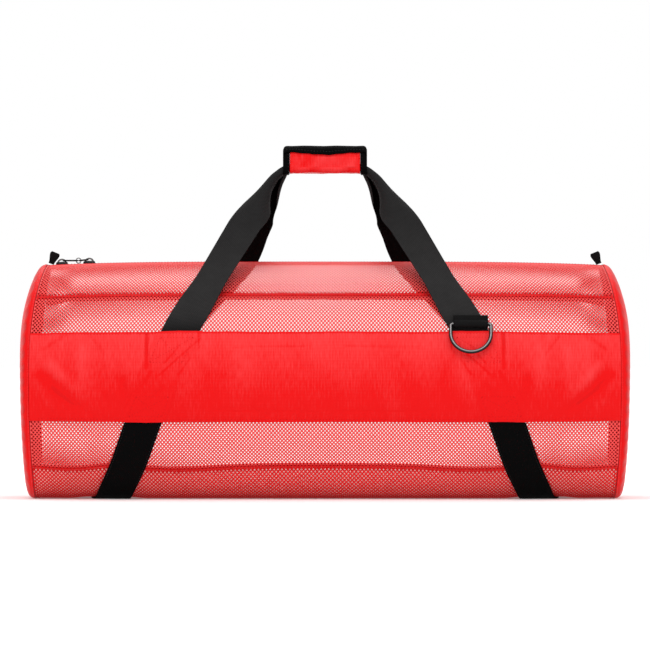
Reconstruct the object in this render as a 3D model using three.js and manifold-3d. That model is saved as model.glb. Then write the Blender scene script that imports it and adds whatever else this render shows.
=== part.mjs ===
// A mesh duffel bag: a see-through net barrel with solid end panels and cloth bands on
// front and rear, two webbing handles joined by a wrapped grip, a zip along the top and
// one D-ring for a shoulder strap.
//
// Millimetres. +X runs along the bag, +Z is up, and -Y is the front, where the D-ring is.
// The origin is on the floor, under the middle of the bag.

import * as THREE from "three";
import Module from "manifold-3d";
import { mergeVertices } from "three/addons/utils/BufferGeometryUtils.js";

const wasm = await Module();
wasm.setup();

// Driving dimensions of the barrel
const BODY_RADIUS = 176;
const BODY_HEIGHT = 338;
const AXIS_HEIGHT = BODY_HEIGHT - BODY_RADIUS;
const SEAM_REACH = 416.5; // from the middle to the end seam, on the front
const SEAM_TOP_PULL = 20; // the seam leans in by this much at the top
const SEAM_BASE_PULL = 5; // and by this much where it meets the floor
const END_DROP = 6; // the barrel is this much slimmer at its ends
const END_BULGE = 18; // how far the end panels belly out past their seam
const FLOOR_ROUNDING = 8; // softness of the turn where the cloth lies on the floor

// Cloth and webbing
const NET_WALL = 1.4;
const CLOTH_WALL = 1.2;
const TAPE_WALL = 1.4;
const WEB_WIDTH = 50;
const WEB_WALL = 1.6;
const LAYER_GAP = 0.6; // between two layers that lie on each other
const SEAM_GAP = 0.3; // between two pieces that meet edge to edge
const TAPE_DEPTH = 2.6; // the seam tapes lie this far inside the net's outer face
const SEAM_TAPE_WIDTH = 10;
const END_TAPE_WIDTH = 4;

// Places round the barrel, in degrees: 0 is the front, 90 the top, 180 the rear
const UPPER_SEAM = 47;
const LOWER_SEAM = -41.3;
const REAR_SEAM_DROP = 3.4; // how much lower the rear's lower seam lies
const BAND_TOP = 25.7;
const BAND_BASE = -16.9;
const LIFT_OFF = 33; // where the webbing leaves the barrel for the handle

// Zip
const ZIP_OPENING = 26;
const ZIP_WIDTH = 36;
const ZIP_TAPE_WALL = 1.2;
const ZIP_TAPE_DEPTH = 2.6;
const COIL_WIDTH = 6;
const COIL_HEIGHT = 2.4;
const COIL_GAP = 0.4;
const LEFT_SLIDER_X = -376;
const RIGHT_SLIDER_X = -337;
const LOCK_RING_X = -352.3;

// Handle and grip
const GRIP_LENGTH = 120;
const GRIP_BASE = 461;
const GRIP_HEIGHT = 39;
const GRIP_DEPTH = 45;
const GRIP_CORNER = 12.5;
const GRIP_WALL = 3;
const GRIP_BINDING = 9.5;
const FLAP_WALL = 2;
const FLAP_LIP = 10;
const ROLL_CURL = 335; // degrees that the webbing curls through inside the grip
const CURL_START = 385; // height where it starts to curl
const FREE_TWIST = 22; // degrees that the free webbing turns its outer edge back
const REAR_BOW = 18; // the rear handle's legs hang this much further in
const REAR_SPREAD = 0.03; // and stand wider apart by this share on the barrel

// D-ring
const RING_WIRE = 5.4;
const RING_WIDTH = 62;
const RING_HEIGHT = 49;
const RING_X = 205;
const RING_ANGLE = 28;
const RING_CORNER = 3.2; // bend radius of the wire beside the bar
const RING_TAB_WIDTH = 49;
const RING_TAB_TAIL = 15;
const RING_LEAN = 27; // degrees that the ring hangs out from upright

// The webbing's route up the barrel: half the distance between the two legs at each angle.
const WEB_ROUTE = [
  { angle: -90, reach: 309 },
  { angle: -63, reach: 299 },
  { angle: -36, reach: 274 },
  { angle: -17, reach: 255.5 },
  { angle: 0, reach: 236.5 },
  { angle: 28, reach: 200 },
  { angle: 36, reach: 188 },
];

// The lower seam hangs in swags: where the webbing is sewn down it is drawn up.
const SEAM_SWAGS = [
  { at: 0, rise: 0 },
  { at: 77, rise: -0.2 },
  { at: 134, rise: -0.9 },
  { at: 190, rise: -2.3 },
  { at: 246, rise: -2.1 },
  { at: 300, rise: -0.2 },
  { at: 355, rise: -2.7 },
  { at: 416.5, rise: -2.2 },
];

// Upright creases in the cloth bands, beside the webbing that runs under them.
const BAND_CREASES = [
  { at: 252, width: 15, depth: 1 },
  { at: 372, width: 26, depth: 0.7 },
];
const BAND_PUFF = 2.2; // how far the cloth stands off the net between the creases

const PAINT = {
  net: { color: 0xd81e26, roughness: 0.7, metalness: 0 },
  cloth: { color: 0xe0141c, roughness: 0.55, metalness: 0 },
  tape: { color: 0xb8141b, roughness: 0.8, metalness: 0 },
  zip: { color: 0xc0161e, roughness: 0.6, metalness: 0 },
  webbing: { color: 0x161718, roughness: 0.75, metalness: 0 },
  binding: { color: 0x121314, roughness: 0.8, metalness: 0 },
  metal: { color: 0x26282a, roughness: 0.35, metalness: 0.9 },
};

const bag = new THREE.Group();
bag.name = "mesh_bag";

function addPiece(name, geometry, paint) {
  const piece = new THREE.Mesh(geometry, new THREE.MeshStandardMaterial(PAINT[paint]));
  piece.name = name;
  bag.add(piece);
  return piece;
}

const radians = THREE.MathUtils.degToRad;
const blend = THREE.MathUtils.smoothstep;

// A smooth curve through a table's rows, level at the first row.
function alongTable(rows, column, value, at) {
  const last = rows.length - 1;
  const slope = (i) => {
    if (i === 0) return 0;
    const low = rows[i - 1];
    const high = rows[Math.min(i + 1, last)];
    return (high[value] - low[value]) / (high[column] - low[column]);
  };
  let i = 0;
  while (i < last - 1 && at > rows[i + 1][column]) i += 1;
  const span = rows[i + 1][column] - rows[i][column];
  const t = THREE.MathUtils.clamp((at - rows[i][column]) / span, 0, 1);
  const s = 1 - t;
  return (
    rows[i][value] * (1 + 2 * t) * s * s +
    slope(i) * span * t * s * s +
    rows[i + 1][value] * (1 + 2 * s) * t * t -
    slope(i + 1) * span * s * t * t
  );
}

const webReach = (angle) => alongTable(WEB_ROUTE, "angle", "reach", angle);

// The barrel's skin

function endSeam(angle) {
  const up = Math.sin(radians(angle));
  return SEAM_REACH - SEAM_TOP_PULL * Math.max(0, up) ** 3 - SEAM_BASE_PULL * Math.max(0, -up) ** 2;
}

// Under the webbing the floor cloth is lifted by the webbing's own thickness.
function floorUnder(x) {
  const away = Math.abs(Math.abs(x) - WEB_ROUTE[0].reach);
  return (LAYER_GAP + WEB_WALL) * (1 - blend(away, 0.56 * WEB_WIDTH, 1.1 * WEB_WIDTH));
}

function skin(x, angle) {
  const radius = BODY_RADIUS - END_DROP * Math.min(1, Math.abs(x) / SEAM_REACH) ** 4;
  const floor = floorUnder(x);
  const above = AXIS_HEIGHT + radius * Math.sin(radians(angle)) - floor;
  let lifted = Math.max(0, above);
  if (Math.abs(above) < FLOOR_ROUNDING) lifted = (above + FLOOR_ROUNDING) ** 2 / (4 * FLOOR_ROUNDING);
  return new THREE.Vector3(x, -radius * Math.cos(radians(angle)), floor + lifted);
}

function skinNormal(x, angle) {
  const along = skin(x + 1, angle).sub(skin(x - 1, angle));
  const around = skin(x, angle + 0.5).sub(skin(x, angle - 0.5));
  return along.cross(around).normalize();
}

function onSkin(x, angle, offset = 0) {
  return skin(x, angle).addScaledVector(skinNormal(x, angle), offset);
}

// Degrees round the barrel that an arc of this length takes up
const arc = (length) => THREE.MathUtils.radToDeg(length / BODY_RADIUS);

// Closed solids from grids of points

function closedGeometry(points, triangles) {
  let volume = 0;
  for (const [a, b, c] of triangles) {
    volume += points[a].dot(points[b].clone().cross(points[c]));
  }
  const faces = volume < 0 ? triangles.map(([a, b, c]) => [a, c, b]) : triangles;
  const geometry = new THREE.BufferGeometry();
  geometry.setAttribute(
    "position",
    new THREE.Float32BufferAttribute(points.flatMap((p) => p.toArray()), 3),
  );
  geometry.setIndex(faces.flat());
  geometry.computeVertexNormals();
  return geometry;
}

// A wall between two grids. outside(i, j) and inside(i, j) give its points. With wrap, the
// columns close into a ring, and with pole, row 0 is a single point.
function wall({ rows, columns, outside, inside, wrap = false, pole = false }) {
  const points = [];
  const place = new Map();
  const corner = (side, i, j) => {
    const column = pole && i === 0 ? 0 : wrap ? j % columns : j;
    const key = `${side}:${i}:${column}`;
    if (!place.has(key)) {
      place.set(key, points.length);
      points.push(side === "out" ? outside(i, column) : inside(i, column));
    }
    return place.get(key);
  };
  const triangles = [];
  const addQuad = (a, b, c, d) => {
    for (const face of [[a, b, c], [a, c, d]]) {
      if (new Set(face).size === 3) triangles.push(face);
    }
  };
  for (let i = 0; i < rows; i += 1) {
    for (let j = 0; j < columns; j += 1) {
      for (const side of ["out", "in"]) {
        const quad = [[i, j], [i + 1, j], [i + 1, j + 1], [i, j + 1]].map(([p, q]) => corner(side, p, q));
        addQuad(...(side === "out" ? quad : quad.reverse()));
      }
    }
  }
  const addRim = (from, to) => {
    addQuad(corner("out", ...from), corner("out", ...to), corner("in", ...to), corner("in", ...from));
  };
  for (let j = 0; j < columns; j += 1) {
    addRim([rows, j + 1], [rows, j]);
    if (!pole) addRim([0, j], [0, j + 1]);
  }
  for (let i = 0; i < rows && !wrap; i += 1) {
    addRim([i + 1, 0], [i, 0]);
    addRim([i, columns], [i + 1, columns]);
  }
  return closedGeometry(points, triangles);
}

// A patch of cloth on the barrel, between two offsets from the skin.
function patch({ stations, columns, from, to, low, high }) {
  const point = (offset) => (i, j) => {
    const share = j / columns;
    const angle = THREE.MathUtils.lerp(from(stations[i]), to(stations[i]), share);
    const x = THREE.MathUtils.clamp(stations[i], -endSeam(angle), endSeam(angle));
    return onSkin(x, angle, offset(x, angle, share));
  };
  return wall({ rows: stations.length - 1, columns, outside: point(high), inside: point(low) });
}

// A tube that closes on itself, for rings of wire.
function wireLoop(centres, normal, wire, sides) {
  const tube = (i, j) => {
    const here = centres[i];
    const ahead = centres[(i + 1) % centres.length].clone().sub(centres.at(i - 1)).normalize();
    const across = ahead.clone().cross(normal).normalize();
    const turn = (2 * Math.PI * (j + 0.5)) / sides;
    return here
      .clone()
      .addScaledVector(across, (wire / 2) * Math.cos(turn))
      .addScaledVector(normal, (wire / 2) * Math.sin(turn));
  };
  const points = [];
  const triangles = [];
  centres.forEach((_, i) => {
    for (let j = 0; j < sides; j += 1) points.push(tube(i, j));
  });
  const at = (i, j) => (i % centres.length) * sides + (j % sides);
  centres.forEach((_, i) => {
    for (let j = 0; j < sides; j += 1) {
      triangles.push([at(i, j), at(i + 1, j), at(i + 1, j + 1)]);
      triangles.push([at(i, j), at(i + 1, j + 1), at(i, j + 1)]);
    }
  });
  return closedGeometry(points, triangles);
}

function arcPoints(x, y, radius, from, to, steps) {
  return Array.from({ length: steps + 1 }, (_, i) => {
    const turn = radians(THREE.MathUtils.lerp(from, to, i / steps));
    return new THREE.Vector2(x + radius * Math.cos(turn), y + radius * Math.sin(turn));
  });
}

// A flat outline pulled out along X, centred on x = 0. The outline is drawn in (Y, Z).
function alongX(shape, length) {
  const geometry = new THREE.ExtrudeGeometry(shape, { depth: length, bevelEnabled: false });
  geometry.translate(0, 0, -length / 2);
  const swap = new THREE.Matrix4().makeBasis(
    new THREE.Vector3(0, 1, 0),
    new THREE.Vector3(0, 0, 1),
    new THREE.Vector3(1, 0, 0),
  );
  return geometry.applyMatrix4(swap);
}

function solidOf(geometry) {
  const bare = geometry.index ? geometry.toNonIndexed() : geometry.clone();
  bare.deleteAttribute("normal");
  bare.deleteAttribute("uv");
  const merged = mergeVertices(bare);
  return new wasm.Manifold(
    new wasm.Mesh({
      numProp: 3,
      vertProperties: merged.attributes.position.array,
      triVerts: new Uint32Array(merged.index.array),
    }),
  );
}

function geometryOf(solid) {
  const mesh = solid.getMesh();
  const geometry = new THREE.BufferGeometry();
  geometry.setAttribute("position", new THREE.BufferAttribute(mesh.vertProperties, 3));
  geometry.setIndex(new THREE.BufferAttribute(mesh.triVerts, 1));
  geometry.computeVertexNormals();
  return geometry;
}

const mirrored = (half) => [...half.slice(1).reverse().map((x) => -x), ...half];

// Net panels: front, rear, floor and the two halves of the top beside the zip

const NET_STATIONS = mirrored([0, 90, 180, 254, 281, 309, 337, 364, 390, SEAM_REACH]);
const TOP_STATIONS = mirrored([0, 110, 220, 310, 370, SEAM_REACH]);
const NET_COLUMNS = 8;
const TOP_COLUMNS = 4;

const lowerSeam = (x) => LOWER_SEAM + alongTable(SEAM_SWAGS, "at", "rise", Math.abs(x));
const rearSeam = (x) => lowerSeam(x) - REAR_SEAM_DROP;
const halfGap = arc(SEAM_GAP / 2);
const zipEdge = 90 - arc(ZIP_OPENING / 2);
const toRear = (edge) => (x) => 180 - edge(x);

function addNet(name, stations, columns, from, to) {
  const geometry = patch({ stations, columns, from, to, low: () => -NET_WALL, high: () => 0 });
  addPiece(name, geometry, "net");
}

const frontBase = (x) => lowerSeam(x) + halfGap;
const rearBase = (x) => rearSeam(x) + halfGap;
const frontTop = () => UPPER_SEAM - halfGap;
const topBase = () => UPPER_SEAM + halfGap;
const topEdge = () => zipEdge;
const floorFront = (x) => lowerSeam(x) - halfGap;
const floorRear = (x) => -180 - rearSeam(x) + halfGap;
addNet("front_net", NET_STATIONS, NET_COLUMNS, frontBase, frontTop);
addNet("rear_net", NET_STATIONS, NET_COLUMNS, toRear(frontTop), toRear(rearBase));
addNet("top_net_front", TOP_STATIONS, TOP_COLUMNS, topBase, topEdge);
addNet("top_net_rear", TOP_STATIONS, TOP_COLUMNS, toRear(topEdge), toRear(topBase));
addNet("floor_net", NET_STATIONS, NET_COLUMNS, floorRear, floorFront);

// Seam tapes, sewn inside along the four long seams and round both ends

const tapeLayer = { low: () => -TAPE_DEPTH - TAPE_WALL, high: () => -TAPE_DEPTH };
const TAPE_STATIONS = mirrored([0, 90, 180, 254, 281, 309, 364, SEAM_REACH - END_TAPE_WIDTH - 1]);
const halfTape = arc(SEAM_TAPE_WIDTH / 2);

function addSeamTape(name, seam) {
  const limit = (x) => Math.sign(x) * Math.min(Math.abs(x), endSeam(seam(x)) - END_TAPE_WIDTH - 1.6);
  const stations = TAPE_STATIONS.map(limit);
  const from = (x) => seam(x) - halfTape;
  const to = (x) => seam(x) + halfTape;
  addPiece(name, patch({ stations, columns: 1, from, to, ...tapeLayer }), "tape");
}

addSeamTape("seam_tape_upper_front", () => UPPER_SEAM);
addSeamTape("seam_tape_lower_front", lowerSeam);
addSeamTape("seam_tape_upper_rear", () => 180 - UPPER_SEAM);
addSeamTape("seam_tape_lower_rear", (x) => -180 - rearSeam(x));

// The end tape stops either side of the zip, and hangs a little slack over the floor.
const END_COLUMNS = 30;
const FLOOR_SLACK = 2;
const zipNotch = arc(ZIP_WIDTH / 2 + 2);

function addEndTape(name, side) {
  const angleAt = (j) => 90 + zipNotch + ((360 - 2 * zipNotch) * j) / END_COLUMNS;
  const point = (depth) => (i, j) => {
    const angle = angleAt(j);
    const x = endSeam(angle) - 0.5 - i * END_TAPE_WIDTH;
    const slack = FLOOR_SLACK * blend(-Math.sin(radians(angle)), 0.5, 0.85);
    return onSkin(side * x, angle, -depth - slack);
  };
  const outside = point(TAPE_DEPTH);
  const inside = point(TAPE_DEPTH + TAPE_WALL);
  addPiece(name, wall({ rows: 1, columns: END_COLUMNS, outside, inside }), "tape");
}

addEndTape("end_tape_left", -1);
addEndTape("end_tape_right", 1);

// End panels: domes of plain cloth with a round shoulder at the seam

const DOME_ROWS = 5;
const DOME_SHAPE = { fall: 3, shoulder: 0.27 }; // a low shoulder number makes it squarer

function addEndPanel(name, side) {
  const dome = (inset) => (i, j) => {
    const angle = (360 * j) / END_COLUMNS;
    const rim = onSkin(side * endSeam(angle), angle, -inset);
    const share = Math.sin((Math.PI / 2) * (i / DOME_ROWS));
    const fall = share ** DOME_SHAPE.fall;
    const belly = END_BULGE * (1 - fall) ** DOME_SHAPE.shoulder;
    const point = new THREE.Vector3(0, 0, AXIS_HEIGHT).lerp(rim, share);
    const seam = THREE.MathUtils.lerp(SEAM_REACH, Math.abs(rim.x), fall);
    point.x = side * (seam + SEAM_GAP + belly - (i < DOME_ROWS ? inset : 0));
    return point;
  };
  const outside = dome(0);
  const inside = dome(NET_WALL);
  const size = { rows: DOME_ROWS, columns: END_COLUMNS };
  addPiece(name, wall({ ...size, outside, inside, wrap: true, pole: true }), "cloth");
}

addEndPanel("end_panel_left", -1);
addEndPanel("end_panel_right", 1);

// Cloth bands on front and rear, lying over the webbing

const BAND_STATIONS = mirrored([
  0, 60, 120, 165, 195, 222, 242, 252, 262, 285, 320, 352, 372, 392, SEAM_REACH,
]);
const BAND_COLUMNS = 6;
const WEB_COVER = 2 * LAYER_GAP + WEB_WALL + 0.9;

function bandOffset(x, angle, share) {
  const away = Math.abs(Math.abs(x) - webReach(angle)) * 0.92;
  const overWeb = 1 - blend(away, 0.62 * WEB_WIDTH, 1.05 * WEB_WIDTH);
  const belly = Math.sin(Math.PI * share) ** 0.6;
  let crease = 0;
  for (const { at, width, depth } of BAND_CREASES) {
    crease = Math.max(crease, depth * Math.exp(-(((Math.abs(x) - at) / width) ** 2)));
  }
  const atEnd = blend(endSeam(angle) - Math.abs(x), 0, 40);
  const puff = BAND_PUFF * belly * (1 - crease) * atEnd;
  return Math.max(LAYER_GAP + puff, THREE.MathUtils.lerp(LAYER_GAP, WEB_COVER, overWeb));
}

function addBand(name, isRear) {
  const place = (angle) => (isRear ? 180 - angle : angle);
  const offset = (x, angle, share) => bandOffset(x, place(angle), share);
  const geometry = patch({
    stations: BAND_STATIONS,
    columns: BAND_COLUMNS,
    from: () => place(BAND_BASE),
    to: () => place(BAND_TOP),
    low: offset,
    high: (x, angle, share) => offset(x, angle, share) + CLOTH_WALL,
  });
  addPiece(name, geometry, "cloth");
}

addBand("front_band", false);
addBand("rear_band", true);

// Webbing: from the floor seam up one side, through the grip and down the other side

const WEB_STEPS = 15;
const FREE_STEPS = 16;
const WEB_END_GAP = 1.4; // from each webbing's end to the middle of the floor
const WEB_COLUMNS = 6;
const webMiddle = LAYER_GAP + WEB_WALL / 2;
const rollRadius = WEB_WIDTH / radians(ROLL_CURL);
const ROLL_REST = 3; // how far the rolled webbing lies above the sleeve's floor
const rollReach = rollRadius + WEB_WALL / 2;
const rollHeight = GRIP_BASE + GRIP_WALL + ROLL_REST + rollReach;
const rollFace = -0.3 - 2 * rollRadius - WEB_WALL / 2; // the front roll's face, in Y

// Where the barrel turns up from the floor, the webbing stands off it a little.
const FLOOR_BRIDGE = { angle: -64, width: 9, rise: 0.9 };

// One leg from the floor to the middle of the grip, as stations with a facing direction.
function webLeg(bow, spread) {
  const leg = [];
  for (let i = 0; i <= WEB_STEPS; i += 1) {
    const angle = THREE.MathUtils.lerp(-90 + arc(WEB_END_GAP), LIFT_OFF, i / WEB_STEPS);
    const x = webReach(angle) * (1 + spread * blend(angle, -80, -40));
    const fromTurn = (angle - FLOOR_BRIDGE.angle) / FLOOR_BRIDGE.width;
    const bridge = FLOOR_BRIDGE.rise * Math.exp(-(fromTurn ** 2));
    leg.push({ centre: onSkin(x, angle, webMiddle + bridge), facing: skinNormal(x, angle), curl: 0 });
  }
  const start = leg.at(-1);
  const front = new THREE.Vector3(0, -1, 0);
  const gripEnd = GRIP_LENGTH / 2;
  const elbow = new THREE.Vector3(gripEnd + 13.5, rollFace - 1, rollHeight - 17);
  const onRun = (share, inward) => {
    const point = start.centre.clone().lerp(elbow, share);
    point.x -= inward;
    return point;
  };
  const run = new THREE.CatmullRomCurve3([
    start.centre.clone().multiplyScalar(2).sub(leg.at(-2).centre),
    start.centre,
    onRun(0.42, bow),
    onRun(0.75, 0.28 * bow),
    elbow,
    new THREE.Vector3(gripEnd + 6.5, rollFace, rollHeight - 6.4),
    new THREE.Vector3(gripEnd + 1.5, rollFace, rollHeight - 1),
    new THREE.Vector3(gripEnd - 8, rollFace, rollHeight),
    new THREE.Vector3(gripEnd - 20, rollFace, rollHeight),
    new THREE.Vector3(0, rollFace, rollHeight),
  ]);
  const spans = run.points.length - 1;
  for (let i = 1; i <= FREE_STEPS; i += 1) {
    const t = (1 + ((spans - 1) * i) / FREE_STEPS) / spans;
    const centre = run.getPoint(t);
    const share = blend(centre.z, start.centre.z, rollHeight - 20);
    const facing = start.facing.clone().lerp(front, share).normalize();
    const turned = blend(centre.z, start.centre.z, start.centre.z + 60);
    const untwisted = blend(centre.z, CURL_START, rollHeight - 15);
    facing.applyAxisAngle(run.getTangent(t), radians(FREE_TWIST * turned * (1 - untwisted)));
    leg.push({ centre, facing, curl: radians(ROLL_CURL) * blend(centre.z, CURL_START, rollHeight - 4) });
  }
  return leg;
}

function webStations(bow, spread) {
  const right = webLeg(bow, spread);
  const flip = (v) => new THREE.Vector3(-v.x, v.y, v.z);
  const left = right.slice(0, -1).map((s) => ({ ...s, centre: flip(s.centre), facing: flip(s.facing) }));
  return [...right, ...left.reverse()];
}

function addWebbing(name, isRear) {
  const stations = isRear ? webStations(REAR_BOW, REAR_SPREAD) : webStations(0, 0);
  const frames = stations.map(({ centre, facing, curl }, i) => {
    const before = stations[Math.max(0, i - 1)].centre;
    const after = stations[Math.min(stations.length - 1, i + 1)].centre;
    const ahead = after.clone().sub(before).normalize();
    const across = ahead.clone().cross(facing).normalize();
    return { centre, across, out: across.clone().cross(ahead).normalize(), curl };
  });
  const point = (offset) => (i, j) => {
    const { centre, across, out, curl } = frames[i];
    const v = WEB_WIDTH * (j / WEB_COLUMNS - 0.5);
    const bend = Math.max(curl, 1e-4) / WEB_WIDTH;
    const turn = v * bend;
    const place = centre
      .clone()
      .addScaledVector(across, Math.sin(turn) / bend + offset * Math.sin(turn))
      .addScaledVector(out, offset * Math.cos(turn) - (1 - Math.cos(turn)) / bend);
    if (isRear) place.y = -place.y;
    return place;
  };
  const outside = point(WEB_WALL / 2);
  const inside = point(-WEB_WALL / 2);
  addPiece(name, wall({ rows: frames.length - 1, columns: WEB_COLUMNS, outside, inside }), "webbing");
}

addWebbing("webbing_front", false);
addWebbing("webbing_rear", true);

// Grip: a padded sleeve round both handles, bound at its ends and closed by a flap on top

function roundedBox(width, height, corner, base) {
  const side = width / 2 - corner;
  const low = base + corner;
  const high = base + height - corner;
  return new THREE.Shape([
    ...arcPoints(side, low, corner, -90, 0, 4),
    ...arcPoints(side, high, corner, 0, 90, 4),
    ...arcPoints(-side, high, corner, 90, 180, 4),
    ...arcPoints(-side, low, corner, 180, 270, 4),
  ]);
}

function sleeveSection() {
  const shape = roundedBox(GRIP_DEPTH, GRIP_HEIGHT, GRIP_CORNER, GRIP_BASE);
  const hole = roundedBox(
    GRIP_DEPTH - 2 * GRIP_WALL,
    GRIP_HEIGHT - 2 * GRIP_WALL,
    GRIP_CORNER - GRIP_WALL,
    GRIP_BASE + GRIP_WALL,
  );
  shape.holes.push(hole);
  return shape;
}

const sleeveLength = GRIP_LENGTH - 2 * (GRIP_BINDING + SEAM_GAP);
addPiece("grip_sleeve", alongX(sleeveSection(), sleeveLength), "cloth");
for (const [name, side] of [["grip_binding_left", -1], ["grip_binding_right", 1]]) {
  const binding = addPiece(name, alongX(sleeveSection(), GRIP_BINDING), "binding");
  binding.position.x = (side * (GRIP_LENGTH - GRIP_BINDING)) / 2;
}

function flapSection() {
  const gap = 0.4;
  const grown = (by) =>
    roundedBox(GRIP_DEPTH + 2 * by, GRIP_HEIGHT + 2 * by, GRIP_CORNER + by, GRIP_BASE - by);
  const outer = solidOf(alongX(grown(gap + FLAP_WALL), GRIP_LENGTH));
  const inner = solidOf(alongX(grown(gap), GRIP_LENGTH + 2));
  const keep = new THREE.BoxGeometry(GRIP_LENGTH + 4, 2 * GRIP_DEPTH, 2 * FLAP_LIP);
  keep.translate(0, 0, GRIP_BASE + GRIP_HEIGHT + gap + FLAP_WALL);
  return outer.subtract(inner).intersect(solidOf(keep));
}

addPiece("grip_flap", geometryOf(flapSection()), "binding");

// Zip: two tapes and a coil let into the top, with two sliders that meet near the left end

const ZIP_STATIONS = mirrored([0, 130, 260, 340, endSeam(90) - 0.6]);

function addZipStrip(name, paint, innerEdge, outerEdge, low, high) {
  const geometry = patch({
    stations: ZIP_STATIONS,
    columns: 2,
    from: () => 90 - arc(outerEdge),
    to: () => 90 - arc(innerEdge),
    low: () => low,
    high: () => high,
  });
  addPiece(name, geometry, paint);
}

const tapeTop = -ZIP_TAPE_DEPTH;
const coilSide = COIL_WIDTH / 2;
const coilTop = tapeTop + COIL_HEIGHT - ZIP_TAPE_WALL / 2;
const tapeLimits = [tapeTop - ZIP_TAPE_WALL, tapeTop];
addZipStrip("zip_tape_front", "zip", coilSide + COIL_GAP, ZIP_WIDTH / 2, ...tapeLimits);
addZipStrip("zip_tape_rear", "zip", -ZIP_WIDTH / 2, -coilSide - COIL_GAP, ...tapeLimits);
addZipStrip("zip_coil", "zip", -coilSide, coilSide, tapeTop - ZIP_TAPE_WALL, coilTop);

const SLIDER_LENGTH = 17;
const SLIDER_WIDTH = 11;
const SLIDER_PLATE = 2;
const BAIL_HEIGHT = 4.6;
const BAIL_REACH = 6.2;
const BAIL_WIRE = 1.8;
const BAIL_WIDTH = 3;

// A slider straddles the coil, and its bail is an arch on top that runs along the zip.
function sliderSolid() {
  const half = SLIDER_WIDTH / 2;
  const cheek = coilSide + COIL_GAP;
  const roof = coilTop + COIL_GAP;
  const base = tapeTop + SEAM_GAP;
  const section = new THREE.Shape([
    new THREE.Vector2(-half, base),
    new THREE.Vector2(-cheek, base),
    new THREE.Vector2(-cheek, roof),
    new THREE.Vector2(cheek, roof),
    new THREE.Vector2(cheek, base),
    new THREE.Vector2(half, base),
    new THREE.Vector2(half, roof + SLIDER_PLATE * 0.4),
    new THREE.Vector2(half - 1.5, roof + SLIDER_PLATE),
    new THREE.Vector2(-half + 1.5, roof + SLIDER_PLATE),
    new THREE.Vector2(-half, roof + SLIDER_PLATE * 0.4),
  ]);
  const top = roof + SLIDER_PLATE;
  const ellipse = (reach, rise, base) =>
    arcPoints(0, 0, 1, 0, 180, 10).map((p) => new THREE.Vector2(p.x * reach, base + p.y * rise));
  const arch = new THREE.Shape([
    ...ellipse(BAIL_REACH, BAIL_HEIGHT, top - 0.3),
    ...ellipse(BAIL_REACH - BAIL_WIRE, BAIL_HEIGHT - BAIL_WIRE, top - 0.3).reverse(),
  ]);
  const bail = new THREE.ExtrudeGeometry(arch, { depth: BAIL_WIDTH, bevelEnabled: false });
  bail.translate(0, 0, -BAIL_WIDTH / 2).rotateX(Math.PI / 2);
  return solidOf(alongX(section, SLIDER_LENGTH)).add(solidOf(bail));
}

const zipTop = (x) => skin(x, 90).z;
const zipSlope = (x) => Math.atan2(zipTop(x + 5) - zipTop(x - 5), 10);

function addSlider(name, x) {
  const slider = addPiece(name, geometryOf(sliderSolid()), "metal");
  slider.position.set(x, 0, zipTop(x));
  slider.rotation.y = -zipSlope(x);
}

addSlider("zip_slider_left", LEFT_SLIDER_X);
addSlider("zip_slider_right", RIGHT_SLIDER_X);

// The lock ring stands on the coil, through the eyes of both pulls.
const LOCK_RING = { radius: 3.6, wire: 1.3, steps: 14, sides: 6 };
const lockHeight = zipTop(LOCK_RING_X) + coilTop + 0.4 + LOCK_RING.wire / 2 + LOCK_RING.radius;

function addLockRing() {
  const { radius, wire, steps, sides } = LOCK_RING;
  const centres = Array.from({ length: steps }, (_, i) => {
    const turn = (2 * Math.PI * i) / steps;
    const x = LOCK_RING_X + radius * Math.sin(turn);
    return new THREE.Vector3(x, 0, lockHeight - radius * Math.cos(turn));
  });
  addPiece("zip_lock_ring", wireLoop(centres, new THREE.Vector3(0, 1, 0), wire, sides), "metal");
}

addLockRing();

// A pull is a long eye of wire, threaded through its slider's bail and the lock ring.
const PULL = { wire: 1.6, side: 3.2, bailShift: 2, lockShift: 1.2 };

function addPull(name, sliderX, towards) {
  const bailHeight = zipTop(sliderX) + coilTop + COIL_GAP + SLIDER_PLATE + 0.4 + PULL.wire / 2;
  const start = new THREE.Vector3(sliderX + towards * PULL.bailShift, 0, bailHeight);
  const end = new THREE.Vector3(LOCK_RING_X - towards * PULL.lockShift, 0, lockHeight);
  const along = end.clone().sub(start);
  const length = along.length();
  along.normalize();
  const turn = PULL.side;
  const outline = [
    ...arcPoints(turn, 0, turn, 90, 270, 8),
    ...arcPoints(length - turn, 0, turn, -90, 90, 8),
  ];
  const across = new THREE.Vector3(0, 1, 0);
  const centres = outline.map(({ x, y }) =>
    start.clone().addScaledVector(along, x).addScaledVector(across, y),
  );
  addPiece(name, wireLoop(centres, along.clone().cross(across), PULL.wire, 6), "metal");
}

addPull("zip_pull_left", LEFT_SLIDER_X, 1);
addPull("zip_pull_right", RIGHT_SLIDER_X, -1);

// Webbing tabs sewn in at both ends of the zip: folded double and fanned out at the top
const TAB = { base: 8, top: 14, height: 17.5, thickness: 3.2, lean: 22, corner: 2.5 };

function addZipTab(name, side) {
  const turn = TAB.corner;
  const shape = new THREE.Shape([
    new THREE.Vector2(-TAB.base / 2, 0),
    new THREE.Vector2(TAB.base / 2, 0),
    ...arcPoints(TAB.top / 2 - turn, TAB.height - turn, turn, 0, 90, 3),
    ...arcPoints(turn - TAB.top / 2, TAB.height - turn, turn, 90, 180, 3),
  ]);
  const geometry = new THREE.ExtrudeGeometry(shape, { depth: TAB.thickness, bevelEnabled: false });
  geometry.translate(0, 0, -TAB.thickness / 2).rotateX(Math.PI / 2);
  const x = side * (endSeam(90) - 5);
  const tab = addPiece(name, geometry, "webbing");
  tab.position.set(x, 0, zipTop(x) + coilTop + 1.6);
  tab.rotation.y = -side * radians(TAB.lean);
}

addZipTab("zip_tab_left", -1);
addZipTab("zip_tab_right", 1);

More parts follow.
